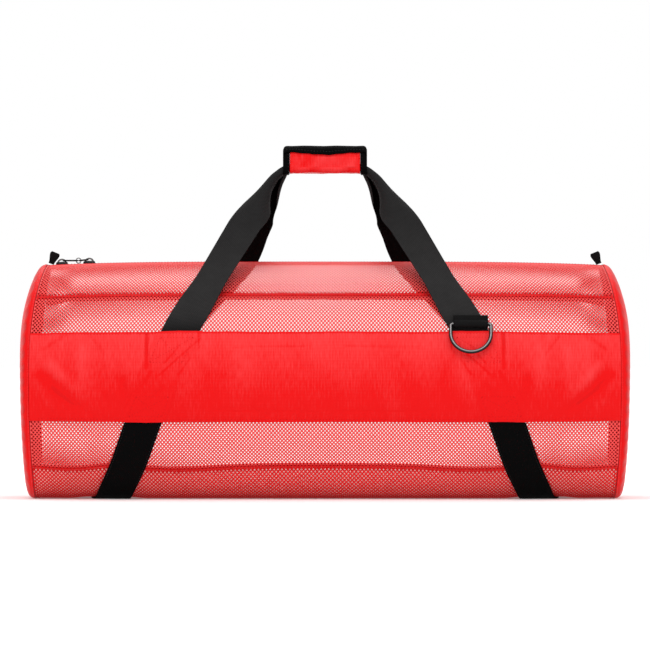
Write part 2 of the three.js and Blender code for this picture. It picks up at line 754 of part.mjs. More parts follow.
// D-ring: hangs from a folded webbing tab that is sewn onto the front webbing

const loopInside = RING_WIRE / 2 + 0.45;
const loopOutside = loopInside + WEB_WALL;
const barStand = LAYER_GAP + WEB_WALL + 0.5 + loopOutside; // the bar's height off the skin
const ringBar = onSkin(RING_X, RING_ANGLE, barStand);

// The tab in side view: a loop round the bar, and a doubled tail that lies on the webbing.
function addRingTab() {
  const barrel = (radius, width) => {
    const circle = new THREE.Shape(arcPoints(0, 0, radius, 0, 345, 23));
    return solidOf(alongX(circle, width));
  };
  const tail = new THREE.BoxGeometry(RING_TAB_WIDTH, 2 * WEB_WALL, RING_TAB_TAIL);
  tail.translate(0, loopOutside - WEB_WALL, RING_TAB_TAIL / 2);
  const folded = barrel(loopOutside, RING_TAB_WIDTH).add(solidOf(tail));
  const loop = folded.subtract(barrel(loopInside, RING_TAB_WIDTH + 2));
  const tab = addPiece("d_ring_tab", geometryOf(loop), "webbing");
  tab.position.copy(ringBar);
  tab.rotation.x = radians(-RING_ANGLE);
}

addRingTab();

function addRing() {
  const side = (RING_WIDTH - RING_WIRE) / 2;
  const turn = RING_CORNER;
  const bow = side + RING_WIRE - RING_HEIGHT; // centre of the round end, below the bar
  const outline = [
    new THREE.Vector2(0, 0),
    ...arcPoints(side - turn, -turn, turn, 90, 0, 3),
    ...arcPoints(0, bow, side, 0, -180, 22),
    ...arcPoints(turn - side, -turn, turn, 180, 90, 3),
  ];
  const down = new THREE.Vector3(0, -Math.sin(radians(RING_LEAN)), -Math.cos(radians(RING_LEAN)));
  const centres = outline.map((p) => ringBar.clone().addScaledVector(down, -p.y).setX(RING_X + p.x));
  const normal = new THREE.Vector3(0, -Math.cos(radians(RING_LEAN)), Math.sin(radians(RING_LEAN)));
  addPiece("d_ring", wireLoop(centres, normal, RING_WIRE, 8), "metal");
}

addRing();

export default bag;
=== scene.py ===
# %% [markdown]
# # A mesh duffel bag
#
# The bag is a barrel of red net with solid end panels. A band of ripstop cloth runs along the
# front and the rear, black webbing comes up from under the floor and makes the two handles, and
# a wrapped grip holds them together. Each cell below makes one kind of piece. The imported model
# is loaded first: it gives the places that every piece has to keep to.

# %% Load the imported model
import math

import bpy
import numpy as np
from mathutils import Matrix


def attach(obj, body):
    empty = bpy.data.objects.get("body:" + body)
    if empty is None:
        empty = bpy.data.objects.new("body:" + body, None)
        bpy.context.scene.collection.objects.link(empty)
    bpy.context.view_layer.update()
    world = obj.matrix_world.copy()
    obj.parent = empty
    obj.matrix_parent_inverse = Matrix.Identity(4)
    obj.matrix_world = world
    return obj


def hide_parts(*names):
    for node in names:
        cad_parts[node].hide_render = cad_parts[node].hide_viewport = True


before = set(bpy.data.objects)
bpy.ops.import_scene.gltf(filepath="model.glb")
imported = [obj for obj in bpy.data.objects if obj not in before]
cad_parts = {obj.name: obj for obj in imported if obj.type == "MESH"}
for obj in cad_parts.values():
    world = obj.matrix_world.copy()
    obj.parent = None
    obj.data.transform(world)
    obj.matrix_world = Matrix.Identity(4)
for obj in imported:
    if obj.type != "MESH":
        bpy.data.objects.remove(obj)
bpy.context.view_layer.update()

# %% [markdown]
# ## Camera
#
# The photograph looks straight at the front from far away, so upright lines stay upright and
# the perspective is slight. A long lens at 10 m does the same. The lens follows from the width
# that the picture shows at the bag's middle plane.

# %% Set up the camera
CAMERA_DISTANCE = 10.0
CAMERA_HEIGHT = 0.2467
PICTURE_WIDTH = 0.9293
SENSOR = 36.0

camera = bpy.data.objects.new("camera", bpy.data.cameras.new("camera"))
bpy.context.collection.objects.link(camera)
camera.location = (0, -CAMERA_DISTANCE, CAMERA_HEIGHT)
camera.rotation_euler = (math.pi / 2, 0, 0)
camera.data.sensor_width = SENSOR
camera.data.lens = SENSOR * CAMERA_DISTANCE / PICTURE_WIDTH
camera.data.clip_end = 100
bpy.context.scene.camera = camera
print(f"camera: {camera.data.lens:.0f} mm lens at {CAMERA_DISTANCE} m")

# %% [markdown]
# ## Meshes from grids
#
# Cloth, webbing and tape are all long grids of points, and numpy works out a whole grid at
# once. One helper turns points and faces into an object. It also stores each point's place in
# the flat cloth, in metres, in an attribute called `cloth`, so that a weave can follow the
# cloth round bends. Its third number says where a finish paints light or shade: painted light
# where a fold lifts the cloth and painted shade in its creases, minus one for an inside painted
# dark as shade, how much a point of the net is a ridge with a painted highlight, the painted
# sheen on a strap, or the painted highlight along a wire. Two more helpers give the
# faces of a tube, and close two grids into a thin solid with an outside, an inside and edges.

# %% Mesh helpers
def together(*parts):
    """Arrays or numbers side by side along a new last axis."""
    return np.stack(np.broadcast_arrays(*parts), -1)


def make_object(name, points, faces, finish, cloth=None):
    """faces is a list of index arrays, one for each number of corners."""
    points = np.asarray(points, float).reshape(-1, 3)
    corners = np.concatenate([np.asarray(f).ravel() for f in faces])
    sizes = np.concatenate([np.full(len(f), np.shape(f)[1]) for f in faces])
    mesh = bpy.data.meshes.new(name)
    mesh.vertices.add(len(points))
    mesh.vertices.foreach_set("co", points.astype(np.float32).ravel())
    mesh.loops.add(len(corners))
    mesh.loops.foreach_set("vertex_index", corners.astype(np.int32))
    mesh.polygons.add(len(sizes))
    mesh.polygons.foreach_set("loop_start", (np.cumsum(sizes) - sizes).astype(np.int32))
    mesh.update(calc_edges=True)
    mesh.validate()
    mesh.shade_smooth()
    if cloth is not None:
        flat = np.zeros((len(points), 3), np.float32)
        flat[:, : np.shape(cloth)[-1]] = np.reshape(cloth, (len(points), -1))
        stored = mesh.attributes.new("cloth", "FLOAT_VECTOR", "POINT")
        stored.data.foreach_set("vector", flat.ravel())
    mesh.materials.append(finish)
    piece = bpy.data.objects.new(name, mesh)
    bpy.context.collection.objects.link(piece)
    return piece


def grid_faces(rows, columns, start=0, wrap_rows=False, wrap_columns=False):
    """Quads between the points of a grid that is stored row by row."""
    i = np.arange(rows if wrap_rows else rows - 1)[:, None]
    j = np.arange(columns if wrap_columns else columns - 1)[None, :]
    at = lambda p, q: start + (p % rows) * columns + q % columns
    return together(at(i, j), at(i + 1, j), at(i + 1, j + 1), at(i, j + 1)).reshape(-1, 4)


def tube_faces(rows, columns):
    """Sides and flat ends of a tube that is stored ring by ring."""
    ring = np.arange(columns)
    sides = grid_faces(rows, columns, 0, False, True)
    return [sides, np.stack([ring, ring[::-1] + (rows - 1) * columns])]


def cloth_solid(name, outside, inside, finish, cloth, shaded_inside=False):
    """A thin closed solid between two grids."""
    rows, columns = outside.shape[:2]
    count = rows * columns
    quads = grid_faces(rows, columns)
    row = np.arange(columns)
    column = np.arange(rows) * columns
    edge = [row, column[1:] + columns - 1, row[-2::-1] + column[-1], column[-2::-1]]
    edge = np.concatenate(edge)
    a, b = edge[:-1], edge[1:]
    faces = [quads, quads[:, ::-1] + count, together(a, b, b + count, a + count)]
    points = np.concatenate([outside.reshape(-1, 3), inside.reshape(-1, 3)])
    flat = np.concatenate([cloth.reshape(count, -1)] * 2)
    if shaded_inside:
        # painted shade: the inside is marked minus one and painted dark red
        flat[count:, 2] = -1
    return make_object(name, points, [np.concatenate(faces)], finish, flat)


def smooth_step(x, low, high):
    t = np.clip((x - low) / (high - low), 0, 1)
    return t * t * (3 - 2 * t)


print("helpers: together, make_object, grid_faces, tube_faces, cloth_solid")

# %% [markdown]
# ## Shader sums
#
# A weave is a height that goes up and down with the place in the cloth, which is a sum of
# waves. Written node by node, such a sum is hard to read. The class below wraps one socket, so
# that a sum in Python adds the Math nodes by itself, and its one method `node` adds any other
# node.

# %% A socket that can be used in sums
class Signal:
    def __init__(self, socket):
        self.socket = socket

    def node(self, kind, settings=None, inputs=None, output=0):
        made = self.socket.id_data.nodes.new(kind)
        for key, value in (settings or {}).items():
            setattr(made, key, value)
        for key, value in (inputs or {}).items():
            if isinstance(value, Signal):
                self.socket.id_data.links.new(value.socket, made.inputs[key])
            else:
                made.inputs[key].default_value = value
        return Signal(made.outputs[output])

    def math(self, operation, *others):
        inputs = dict(enumerate([self, *others]))
        return self.node("ShaderNodeMath", {"operation": operation}, inputs)

    def __add__(self, other):
        return self.math("ADD", other)

    def __sub__(self, other):
        return self.math("SUBTRACT", other)

    def __rsub__(self, other):
        return self.node("ShaderNodeMath", {"operation": "SUBTRACT"}, {0: other, 1: self})

    def __mul__(self, other):
        return self.math("MULTIPLY", other)

    def __pow__(self, power):
        return self.math("POWER", power)

    __radd__ = __add__
    __rmul__ = __mul__

    def wave(self, period):
        """A cosine wave between 0 and 1."""
        return (self * (2 * math.pi / period)).math("COSINE") * 0.5 + 0.5

    def step(self, low, high):
        """Rises smoothly from 0 to 1 between two values."""
        inputs = {"Value": self, "From Min": low, "From Max": high}
        return self.node("ShaderNodeMapRange", {"interpolation_type": "SMOOTHSTEP"}, inputs)

    def parts(self):
        """The three numbers of a vector."""
        split = self.node("ShaderNodeSeparateXYZ", None, {"Vector": self}).socket.node
        return [Signal(part) for part in split.outputs]

    def noise(self, scale, detail=2.0):
        inputs = {"Vector": self, "Scale": scale, "Detail": detail}
        return self.node("ShaderNodeTexNoise", None, inputs)


print("Signal: sums of sockets, waves and noise")

# %% [markdown]
# ## Starting a finish
#
# Every finish is one Principled shader. What is the same all over, such as the sheen, is set on
# the shader's own socket. Nodes are kept for what changes over the surface: the colour, the
# roughness, and the bump that stands for yarns too fine for the mesh. A few helpers start a
# finish and link a signal to it, so that each recipe below is only a few lines long.

# %% Helpers for finishes
def new_finish(name, roughness, **constants):
    """A material with its shader, its cloth coordinates and the object's own coordinates."""
    finish = bpy.data.materials.new(name)
    finish.use_nodes = True
    tree = finish.node_tree
    shader = tree.nodes["Principled BSDF"]
    shader.inputs["Roughness"].default_value = roughness
    for socket, value in constants.items():
        shader.inputs[socket.replace("_", " ")].default_value = value
    cloth = tree.nodes.new("ShaderNodeAttribute")
    cloth.attribute_name = "cloth"
    place = tree.nodes.new("ShaderNodeTexCoord")
    return finish, shader, Signal(cloth.outputs["Vector"]), Signal(place.outputs["Object"])


def feed(shader, socket, signal):
    shader.id_data.links.new(signal.socket, shader.inputs[socket])


def mix_colours(share, low, high):
    """Mixes two colours. Either may be a signal."""
    low, high = (c if isinstance(c, Signal) else (*c, 1) for c in (low, high))
    return share.node("ShaderNodeMix", {"data_type": "RGBA"}, {0: share, 6: low, 7: high}, 2)


def raise_by(shader, height, depth, strength=1.0):
    inputs = {"Strength": strength, "Distance": depth, "Height": height}
    feed(shader, "Normal", height.node("ShaderNodeBump", None, inputs))


print("helpers: new_finish, feed, mix_colours, raise_by")

# %% [markdown]
# ## Red cloths
#
# The end panels, the bands and the grip are ripstop: a fine plain weave with a thicker yarn
# every few millimetres, which shows as faint upright and level lines. Upright yarns are uneven,
# so the cloth has fine upright streaks: noise that is squeezed along one direction. The cloth has
# painted light where folds lift it and painted shade in creases, and its inside is painted dark
# red as painted shade. Colour, gloss and height all come from the same few signals.

# %% Ripstop, lining and tapes
RED_DEEP = (0.73, 0.0008, 0.0016)
RED_LIGHT = (0.84, 0.056, 0.06)
INSIDE_SHADE = (0.12, 0.0005, 0.002)
YARN_STEP = 0.0011
STREAK_SQUEEZE = (1.0, 0.12, 0.0)


def red_cloth(name, rib, roughness, deep, light):
    constants = {"Specular_IOR_Level": 0.12, "Sheen_Weight": 0.02, "Sheen_Roughness": 0.4}
    finish, shader, cloth, place = new_finish(name, roughness, **constants)
    along, across, painted_light_and_shade = cloth.parts()
    squeeze = {0: cloth, 1: STREAK_SQUEEZE}
    squeezed = cloth.node("ShaderNodeVectorMath", {"operation": "MULTIPLY"}, squeeze)
    streaks = squeezed.noise(600.0, 3.0)
    yarns = along.wave(YARN_STEP) * across.wave(YARN_STEP)
    upright = along.wave(rib) ** 10
    level = across.wave(rib) ** 14
    clouds = place.noise(9.0, 4.0)
    # painted light and shade: the third cloth number makes lifted folds paler and creases, hems and
    # gathered rims darker
    shade = painted_light_and_shade * 0.8 + streaks * 0.9 + clouds * 0.15 + upright * 0.1 + level * 0.1 - 0.66
    # painted shade: where the third number is minus one, the inside takes the dark inside colour
    outside = painted_light_and_shade.step(-0.9, -0.4)
    feed(shader, "Base Color", mix_colours(outside, INSIDE_SHADE, mix_colours(shade, deep, light)))
    feed(shader, "Roughness", clouds * 0.16 + streaks * 0.1 + (roughness - 0.13))
    raise_by(shader, yarns * 0.2 + upright * 0.5 + level * 0.3 + streaks * 0.8, 0.0002, 0.5)
    return finish


ripstop = red_cloth("red_ripstop", 0.0046, 0.42, RED_DEEP, RED_LIGHT)
seam_tape = red_cloth("red_seam_tape", 0.0018, 0.75, (0.46, 0.002, 0.004), (0.62, 0.007, 0.009))
zip_cloth = red_cloth("red_zip_tape", 0.0016, 0.65, (0.42, 0.005, 0.007), (0.56, 0.01, 0.012))
# A pale sheet for inside the floor: painted light seen through the net's holes.
light_sheet = red_cloth("red_light_sheet", 0.0022, 0.8, (1.0, 0.60, 0.57), (1.0, 0.72, 0.70))
print("red cloths:", ripstop.name, seam_tape.name, zip_cloth.name, light_sheet.name)

# %% [markdown]
# ## Red yarns
#
# The net is knitted from thick yarn. Its finish mixes two reds by the ridge number that the mesh
# stores: a painted highlight along the strands' ridges, and painted shade, deep red, in the
# grooves.
# Thread and the zip's nylon are too thin for that, so their red is plain and a little mottled.

# %% Net, thread and nylon
def red_yarn(name, deep, light, roughness):
    finish, shader, _, place = new_finish(name, roughness, Specular_IOR_Level=0.08)
    shade = place.noise(400.0) * 0.6 + place.noise(7.0) * 0.4
    feed(shader, "Base Color", mix_colours(shade, deep, light))
    raise_by(shader, place.noise(1800.0), 0.0002, 0.6)
    return finish


def net_finish(name, groove_shade, ridge_highlight):
    """Knitted yarn: a painted highlight along each strand's ridge, painted shade in the grooves
    beside it.
    """
    finish, shader, cloth, place = new_finish(name, 0.5, Specular_IOR_Level=0.12)
    height = cloth.parts()[2]
    # painted highlight on the ridges, painted shade in the grooves
    shade = height * 0.9 + place.noise(400.0) * 0.3 + place.noise(7.0) * 0.2 - 0.2
    feed(shader, "Base Color", mix_colours(shade, groove_shade, ridge_highlight))
    feed(shader, "Roughness", place.noise(400.0) * 0.2 + 0.4)
    raise_by(shader, place.noise(1800.0), 0.0002, 0.6)
    return finish


net_yarn = net_finish("red_net_yarn", (0.62, 0.003, 0.004), (0.95, 0.11, 0.105))
# A copy of the net yarn with a weaker, redder painted highlight for the floor net: painted shade.
shaded_floor_yarn = net_finish("red_floor_yarn_shaded", (0.62, 0.003, 0.004), (0.88, 0.03, 0.03))
red_thread = red_yarn("red_thread", (0.52, 0.003, 0.004), (0.68, 0.007, 0.009), 0.7)
zip_nylon = red_yarn("red_zip_coil", (0.45, 0.006, 0.008), (0.58, 0.012, 0.014), 0.35)
print("red yarns:", net_yarn.name, shaded_floor_yarn.name, red_thread.name, zip_nylon.name)

# %% [markdown]
# ## Black webbing, binding and metal
#
# Webbing is woven thick: short bars of yarn lie in columns along the strap, and each column is
# half a bar ahead of the one beside it. A wave along the strap whose phase jumps from column to
# column gives that brick pattern. On the straps' upper part and on the tabs the black is painted
# a little grey: a painted sheen from the light above. Binding tape has plain ribs across it. The
# metal is enamelled steel: smooth and black, with a few scuffs where the enamel is duller, and a
# painted highlight: a light line along each wire.

# %% Webbing, binding, thread and metal
def black_weave(name, bar, column, roughness, deep, painted_highlight, depth):
    finish, shader, cloth, place = new_finish(name, roughness, Specular_IOR_Level=0.03)
    along, across, painted_sheen = cloth.parts()
    odd = (across * (1 / column)).math("FLOOR").math("MODULO", 2.0).math("ABSOLUTE")
    bars = (along + odd * (bar / 2)).wave(bar)
    ribs = (across + column / 2).wave(column) ** 0.5
    dust = place.noise(60.0, 4.0)
    # the third cloth number adds a painted sheen, which pales the black
    shade = bars * 0.02 + dust * 0.02 + painted_sheen * (bars * 0.35 + dust * 0.2 + 0.2)
    feed(shader, "Base Color", mix_colours(shade, deep, painted_highlight))
    feed(shader, "Roughness", dust * 0.2 + (roughness - 0.1))
    raise_by(shader, bars * 0.6 + ribs * 0.6, depth, 0.8)
    return finish


BLACK_DEEP = (0.0006, 0.0006, 0.0007)
BLACK_SHEEN_AND_GRAIN = (0.046, 0.044, 0.044)
HIGHLIGHT_GREY = (0.36, 0.34, 0.34)
webbing = black_weave("black_webbing", 0.0026, 0.0021, 0.62, BLACK_DEEP, BLACK_SHEEN_AND_GRAIN, 0.0005)
binding = black_weave("black_binding", 0.0011, 0.0022, 0.68, BLACK_DEEP, BLACK_SHEEN_AND_GRAIN, 0.0004)


def black_yarn(name):
    finish, shader, _, place = new_finish(name, 0.6, Specular_IOR_Level=0.3)
    black = mix_colours(place.noise(500.0), (0.002, 0.002, 0.002), (0.01, 0.01, 0.011))
    feed(shader, "Base Color", black)
    return finish


def enamel(name):
    finish, shader, cloth, place = new_finish(name, 0.2, Specular_IOR_Level=0.22)
    wear = place.noise(160.0, 6.0).step(0.55, 0.75)
    black = mix_colours(wear, (0.001, 0.001, 0.0011), (0.008, 0.008, 0.009))
    # painted highlight: the third cloth number paints a light grey line along the wire
    feed(shader, "Base Color", mix_colours(cloth.parts()[2], black, HIGHLIGHT_GREY))
    feed(shader, "Roughness", wear * 0.2 + 0.12)
    raise_by(shader, place.noise(700.0, 3.0), 0.0001, 0.25)
    return finish


black_thread = black_yarn("black_thread")
black_metal = enamel("black_enamel")
print("black finishes:", webbing.name, binding.name, black_thread.name, black_metal.name)

# %% [markdown]
# ## Floor and light
#
# The photograph is a shop picture on white. A backdrop that curves up behind the bag would do for
# that one view, but it would hide the bag from behind. So the floor is a wide flat disc, lit a
# little from below as on a light table, and the sky is an even white. Both then come out white
# from every side. One lamp over the front makes the top of each surface lighter and leaves the
# underside dark, and a weaker one over the rear does the same there.

# %% Floor, lamps and sky
FLOOR_RADIUS = 30.0
FLOOR_SIDES = 64
FLOOR_GLOW = 0.14
SKY = 1.0
LAMP_AIM = 0.2
LAMPS = [
    {"name": "key", "at": (0.0, -1.5, 2.4), "size": (2.0, 0.5), "watts": 20},
    {"name": "back", "at": (0.0, 1.8, 2.2), "size": (2.0, 0.6), "watts": 12},
]


def full_turn(count):
    return np.linspace(0, 2 * math.pi, count, endpoint=False)


turn = full_turn(FLOOR_SIDES)
disc = FLOOR_RADIUS * together(np.cos(turn), np.sin(turn), 0)
constants = {"Emission_Color": (1, 1, 1, 1), "Emission_Strength": FLOOR_GLOW}
paper, paper_shader, _, paper_place = new_finish("white_paper", 0.9, **constants)
pale = mix_colours(paper_place.noise(2.0), (0.9, 0.9, 0.9), (0.92, 0.92, 0.92))
feed(paper_shader, "Base Color", pale)
floor = make_object("floor", disc, [np.arange(FLOOR_SIDES)[None, :]], paper)

for row in LAMPS:
    light = bpy.data.lights.new(row["name"], "AREA")
    light.shape = "RECTANGLE"
    light.size, light.size_y = row["size"]
    light.energy = row["watts"]
    lamp = bpy.data.objects.new(row["name"], light)
    lamp.location = row["at"]
    lamp.rotation_euler = (math.atan2(-row["at"][1], row["at"][2] - LAMP_AIM), 0, 0)
    bpy.context.collection.objects.link(lamp)

sky = bpy.data.worlds.new("sky")
sky.use_nodes = True
sky.node_tree.nodes["Background"].inputs["Color"].default_value = (1, 1, 1, 1)
sky.node_tree.nodes["Background"].inputs["Strength"].default_value = SKY
bpy.context.scene.world = sky
bpy.context.scene.view_settings.view_transform = "Standard"
print("stage: floor disc,", len(LAMPS), "lamps and a white sky")

# %% [markdown]
# ## The barrel's skin
#
# Everything sewn to the bag lies on one curved skin: a round barrel, a little slimmer at its
# ends, flattened where it lies on the floor. A place on it is a distance along the bag and an
# angle round it, where 0 degrees is the front and 90 is the top. The sizes could be measured on
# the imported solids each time. They are written out instead, in metres and degrees, because a
# reader can then see what each one does.

# %% Sizes
BODY_RADIUS = 0.176
AXIS_HEIGHT = 0.162
SEAM_REACH = 0.4165
SEAM_TOP_PULL = 0.020
SEAM_BASE_PULL = 0.005
END_DROP = 0.006
FLOOR_ROUNDING = 0.008
NET_WALL = 0.0014
WEB_WIDTH = 0.05
WEB_WALL = 0.0016
LAYER_GAP = 0.0006
UPPER_SEAM = 47.0
LOWER_SEAM = -41.3
REAR_SEAM_DROP = 3.37
UPPER_REAR_DROP = 0.5
REAR_END_DROP = 2.5
REAR_SPREAD = 0.03
BAND_TOP = 25.0
BAND_BASE = -16.9
ZIP_EDGE = 90 - math.degrees(0.013 / BODY_RADIUS)

WEB_ROUTE = [  # angle round the barrel, half the distance between the legs
    (-90, 0.309), (-63, 0.299), (-36, 0.274), (-17, 0.2555), (0, 0.2365), (28, 0.2), (36, 0.188),
]
SEAM_SWAGS = [  # distance from the middle, rise of the lower seam in degrees
    (0, 0.0), (0.077, -0.2), (0.134, -0.9), (0.19, -2.3), (0.246, -2.1), (0.3, -0.2), (0.355, -2.7),
    (0.4165, -2.2),
]
print(f"sizes: {2 * BODY_RADIUS:.3f} m barrel between end seams {2 * SEAM_REACH:.3f} m apart")

# %% [markdown]
# ## Lines on the barrel
#
# The seams and the webbing don't run straight: the lower seams hang in swags, the rear ones sit
# lower, and the handles' legs splay towards the floor. A curve object could be drawn for each,
# but whatever is sewn along a line needs its place as a number. So each line is a short table,
# and a smooth curve through the rows gives the value at any place.

# %% Seams and webbing as curves
def along_table(rows, at):
    """A smooth curve through a table's rows, level at the first row."""
    place, value = np.array(rows, float).T
    slope = np.empty_like(value)
    slope[0] = 0
    slope[1:-1] = (value[2:] - value[:-2]) / (place[2:] - place[:-2])
    slope[-1] = (value[-1] - value[-2]) / (place[-1] - place[-2])
    i = np.clip(np.searchsorted(place, at, side="right") - 1, 0, len(place) - 2)
    span = place[i + 1] - place[i]
    t = np.clip((at - place[i]) / span, 0, 1)
    s = 1 - t
    ends = value[i] * (1 + 2 * t) * s * s + value[i + 1] * (1 + 2 * s) * t * t
    return ends + slope[i] * span * t * s * s - slope[i + 1] * span * s * t * t


def web_reach(angle, rear=False):
    """Half the distance between a handle's legs. The rear ones stand a little wider."""
    spread = REAR_SPREAD if rear else 0.0
    return along_table(WEB_ROUTE, angle) * (1 + spread * smooth_step(angle, -80, -40))


def lower_seam(x):
    return LOWER_SEAM + along_table(SEAM_SWAGS, np.abs(x))


def rear_seam(x):
    return lower_seam(x) - REAR_SEAM_DROP


def upper_rear_seam(x):
    end_drop = REAR_END_DROP * smooth_step(np.abs(x), 0.36, 0.41)
    return UPPER_SEAM - UPPER_REAR_DROP - end_drop


def end_seam(angle):
    up = np.sin(np.radians(angle))
    pulled = SEAM_TOP_PULL * np.maximum(0, up) ** 3 + SEAM_BASE_PULL * np.maximum(0, -up) ** 2
    return SEAM_REACH - pulled


print("end seams:", [round(float(end_seam(angle)), 4) for angle in (-90, 0, 90)], "m out")

# %% [markdown]
# ## Points of the skin
#
# Cloth lies on the skin or a little above it, so two functions are enough: the point of the skin
# for a place, and the same point moved out along the skin's normal. A shrinkwrap onto the solids
# would do that too, but it would take on their facets.

# %% Points on and over the skin
def skin(x, angle):
    radius = BODY_RADIUS - END_DROP * np.minimum(1, np.abs(x) / SEAM_REACH) ** 4
    away = np.abs(np.abs(x) - WEB_ROUTE[0][1])
    under = (LAYER_GAP + WEB_WALL) * (1 - smooth_step(away, 0.56 * WEB_WIDTH, 1.1 * WEB_WIDTH))
    above = AXIS_HEIGHT + radius * np.sin(np.radians(angle)) - under
    turning = (above + FLOOR_ROUNDING) ** 2 / (4 * FLOOR_ROUNDING)
    lifted = np.where(np.abs(above) < FLOOR_ROUNDING, turning, np.maximum(0, above))
    y = -radius * np.cos(np.radians(angle))
    return together(x, y, under + lifted)


def unit(v):
    return v / np.linalg.norm(v, axis=-1, keepdims=True)


def skin_normal(x, angle):
    step = 0.001
    along = skin(x + step, angle) - skin(x - step, angle)
    around = skin(x, angle + 0.5) - skin(x, angle - 0.5)
    return unit(np.cross(along, around))


def on_skin(x, angle, offset=0.0):
    return skin(x, angle) + skin_normal(x, angle) * np.asarray(offset)[..., None]


def arc(length):
    return math.degrees(length / BODY_RADIUS)


print(f"skin: top at {float(skin(np.float64(0), np.float64(90))[2]):.3f} m")

# %% [markdown]
# ## Net
#
# The net is knitted from thick yarn, with small holes set like the black squares of a draughts
# board turned on its corner. A see-through texture would be lighter, but its holes would not be
# in the mesh, and the two walls of the bag seen through each other would look flat. So every
# hole is modelled: each diamond of the lattice is a frame of four quads round a smaller diamond.
# The lattice's own lines stand higher than the holes' rims, which makes each strand a ridge.
# Behind the bands the net can't be seen, and there it is plain.

# %% Knit a lattice
STRAND_RISE = 0.0003
PLAIN_CELLS = 70, 12


def net_grid(low, high, columns, rows):
    """Points on the skin between two angles, which may change along the bag."""
    i, j = np.meshgrid(np.arange(columns + 1), np.arange(rows + 1), indexing="ij")
    along = (2 * i / columns - 1) * SEAM_REACH
    angle = low(along) + (high(along) - low(along)) * j / rows
    x = along / SEAM_REACH * (end_seam(angle) - 0.0003)
    return i, j, on_skin(x, angle, -NET_WALL / 2), skin_normal(x, angle) * STRAND_RISE


def lattice(low, high, hole, columns, rows):
    """A net on the bias: points, quads, triangles and how much each point is a ridge, for its
    painted highlight.
    """
    i, j, grid, lift = net_grid(low, high, 2 * columns, 2 * rows)
    is_knot = (i + j) % 2 == 0
    number = np.cumsum(is_knot.ravel()).reshape(is_knot.shape) - 1
    knots = (grid + lift)[is_knot]
    inner = ~is_knot[1:-1, 1:-1]
    ci, cj = (i[1:-1, 1:-1][inner], j[1:-1, 1:-1][inner])
    ways = [(-1, 0), (0, -1), (1, 0), (0, 1)]
    frame_of = together(*[number[ci + a, cj + b] for a, b in ways])
    centre = grid[ci, cj] - lift[ci, cj]
    rims = [centre + hole * (grid[ci + a, cj + b] - grid[ci, cj]) for a, b in ways]
    holes = len(knots) + np.arange(4 * len(ci)).reshape(-1, 4)
    ahead = [1, 2, 3, 0]
    quads = together(frame_of, frame_of[:, ahead], holes[:, ahead], holes).reshape(-1, 4)
    odd_i, odd_j = np.arange(1, 2 * columns, 2), np.arange(1, 2 * rows, 2)
    top, far = 2 * rows, 2 * columns
    edges = [
        (number[odd_i - 1, 0], number[odd_i + 1, 0], number[odd_i, 1]),
        (number[odd_i + 1, top], number[odd_i - 1, top], number[odd_i, top - 1]),
        (number[0, odd_j + 1], number[0, odd_j - 1], number[1, odd_j]),
        (number[far, odd_j - 1], number[far, odd_j + 1], number[far - 1, odd_j]),
    ]
    triangles = np.concatenate([together(*edge) for edge in edges])
    points = np.concatenate([knots, np.stack(rims, 1).reshape(-1, 3)])
    clear = ((j > 1) & (j < 2 * rows - 1))[is_knot]
    return points, quads, triangles, np.concatenate([clear, np.zeros(4 * len(ci))])


def plain_net(low, high):
    _, _, grid, _ = net_grid(level(low), level(high), *PLAIN_CELLS)
    points = grid.reshape(-1, 3)
    return points, grid_faces(*grid.shape[:2]), np.zeros((0, 3), int), np.zeros(len(points))


print("net: strands rise", STRAND_RISE, "m over the holes")

# %% [markdown]
# ## Front and rear nets
#
# Seen from the front, the rear net shows through the front one. Two lattices that almost agree
# make broad bands where they cross, and two that don't agree hide each other's holes. So the rear
# net's cells are counted and shifted to lie behind the front ones as the camera sees them. A
# sewn bag has no such order, but it looks as even. Every piece is also put on a body, and mostly
# the imported solid that it stands for is hidden, so a helper does that in one line.

# %% Make the front and rear nets
def settle(piece, node=None, body="bag"):
    """Puts a piece on the body that carries it, and hides the imported solid that it stands for,
    when there is one.
    """
    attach(piece, body)
    if node:
        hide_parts(node)


def make_net(name, node, parts, flat_width, yarn=net_yarn):
    points, quads, triangles, ridge_highlights = [], [], [], []
    count = 0
    for part_points, part_quads, part_triangles, part_ridge_highlights in parts:
        points.append(part_points)
        ridge_highlights.append(part_ridge_highlights)
        quads.append(part_quads + count)
        triangles.append(part_triangles + count)
        count += len(part_points)
    faces = [np.concatenate(quads), np.concatenate(triangles)]
    cloth = np.concatenate(ridge_highlights)[:, None] * np.array([0.0, 0.0, 1.0])
    net = make_object(name, np.concatenate(points), faces, yarn, cloth)
    settle(net, node)


def level(angle):
    return lambda x: angle + 0.0 * x


def behind(edge):
    return lambda x: 180 - edge(x)


def rear_match(angle):
    """The angle on the rear that lies behind one on the front, seen from the camera."""
    depth = BODY_RADIUS * math.cos(math.radians(angle))
    up = BODY_RADIUS * math.sin(math.radians(angle))
    scale = (CAMERA_DISTANCE + depth) / (CAMERA_DISTANCE - depth)
    height = CAMERA_HEIGHT + scale * (AXIS_HEIGHT + up - CAMERA_HEIGHT)
    return math.degrees(math.asin((height - AXIS_HEIGHT) / BODY_RADIUS))


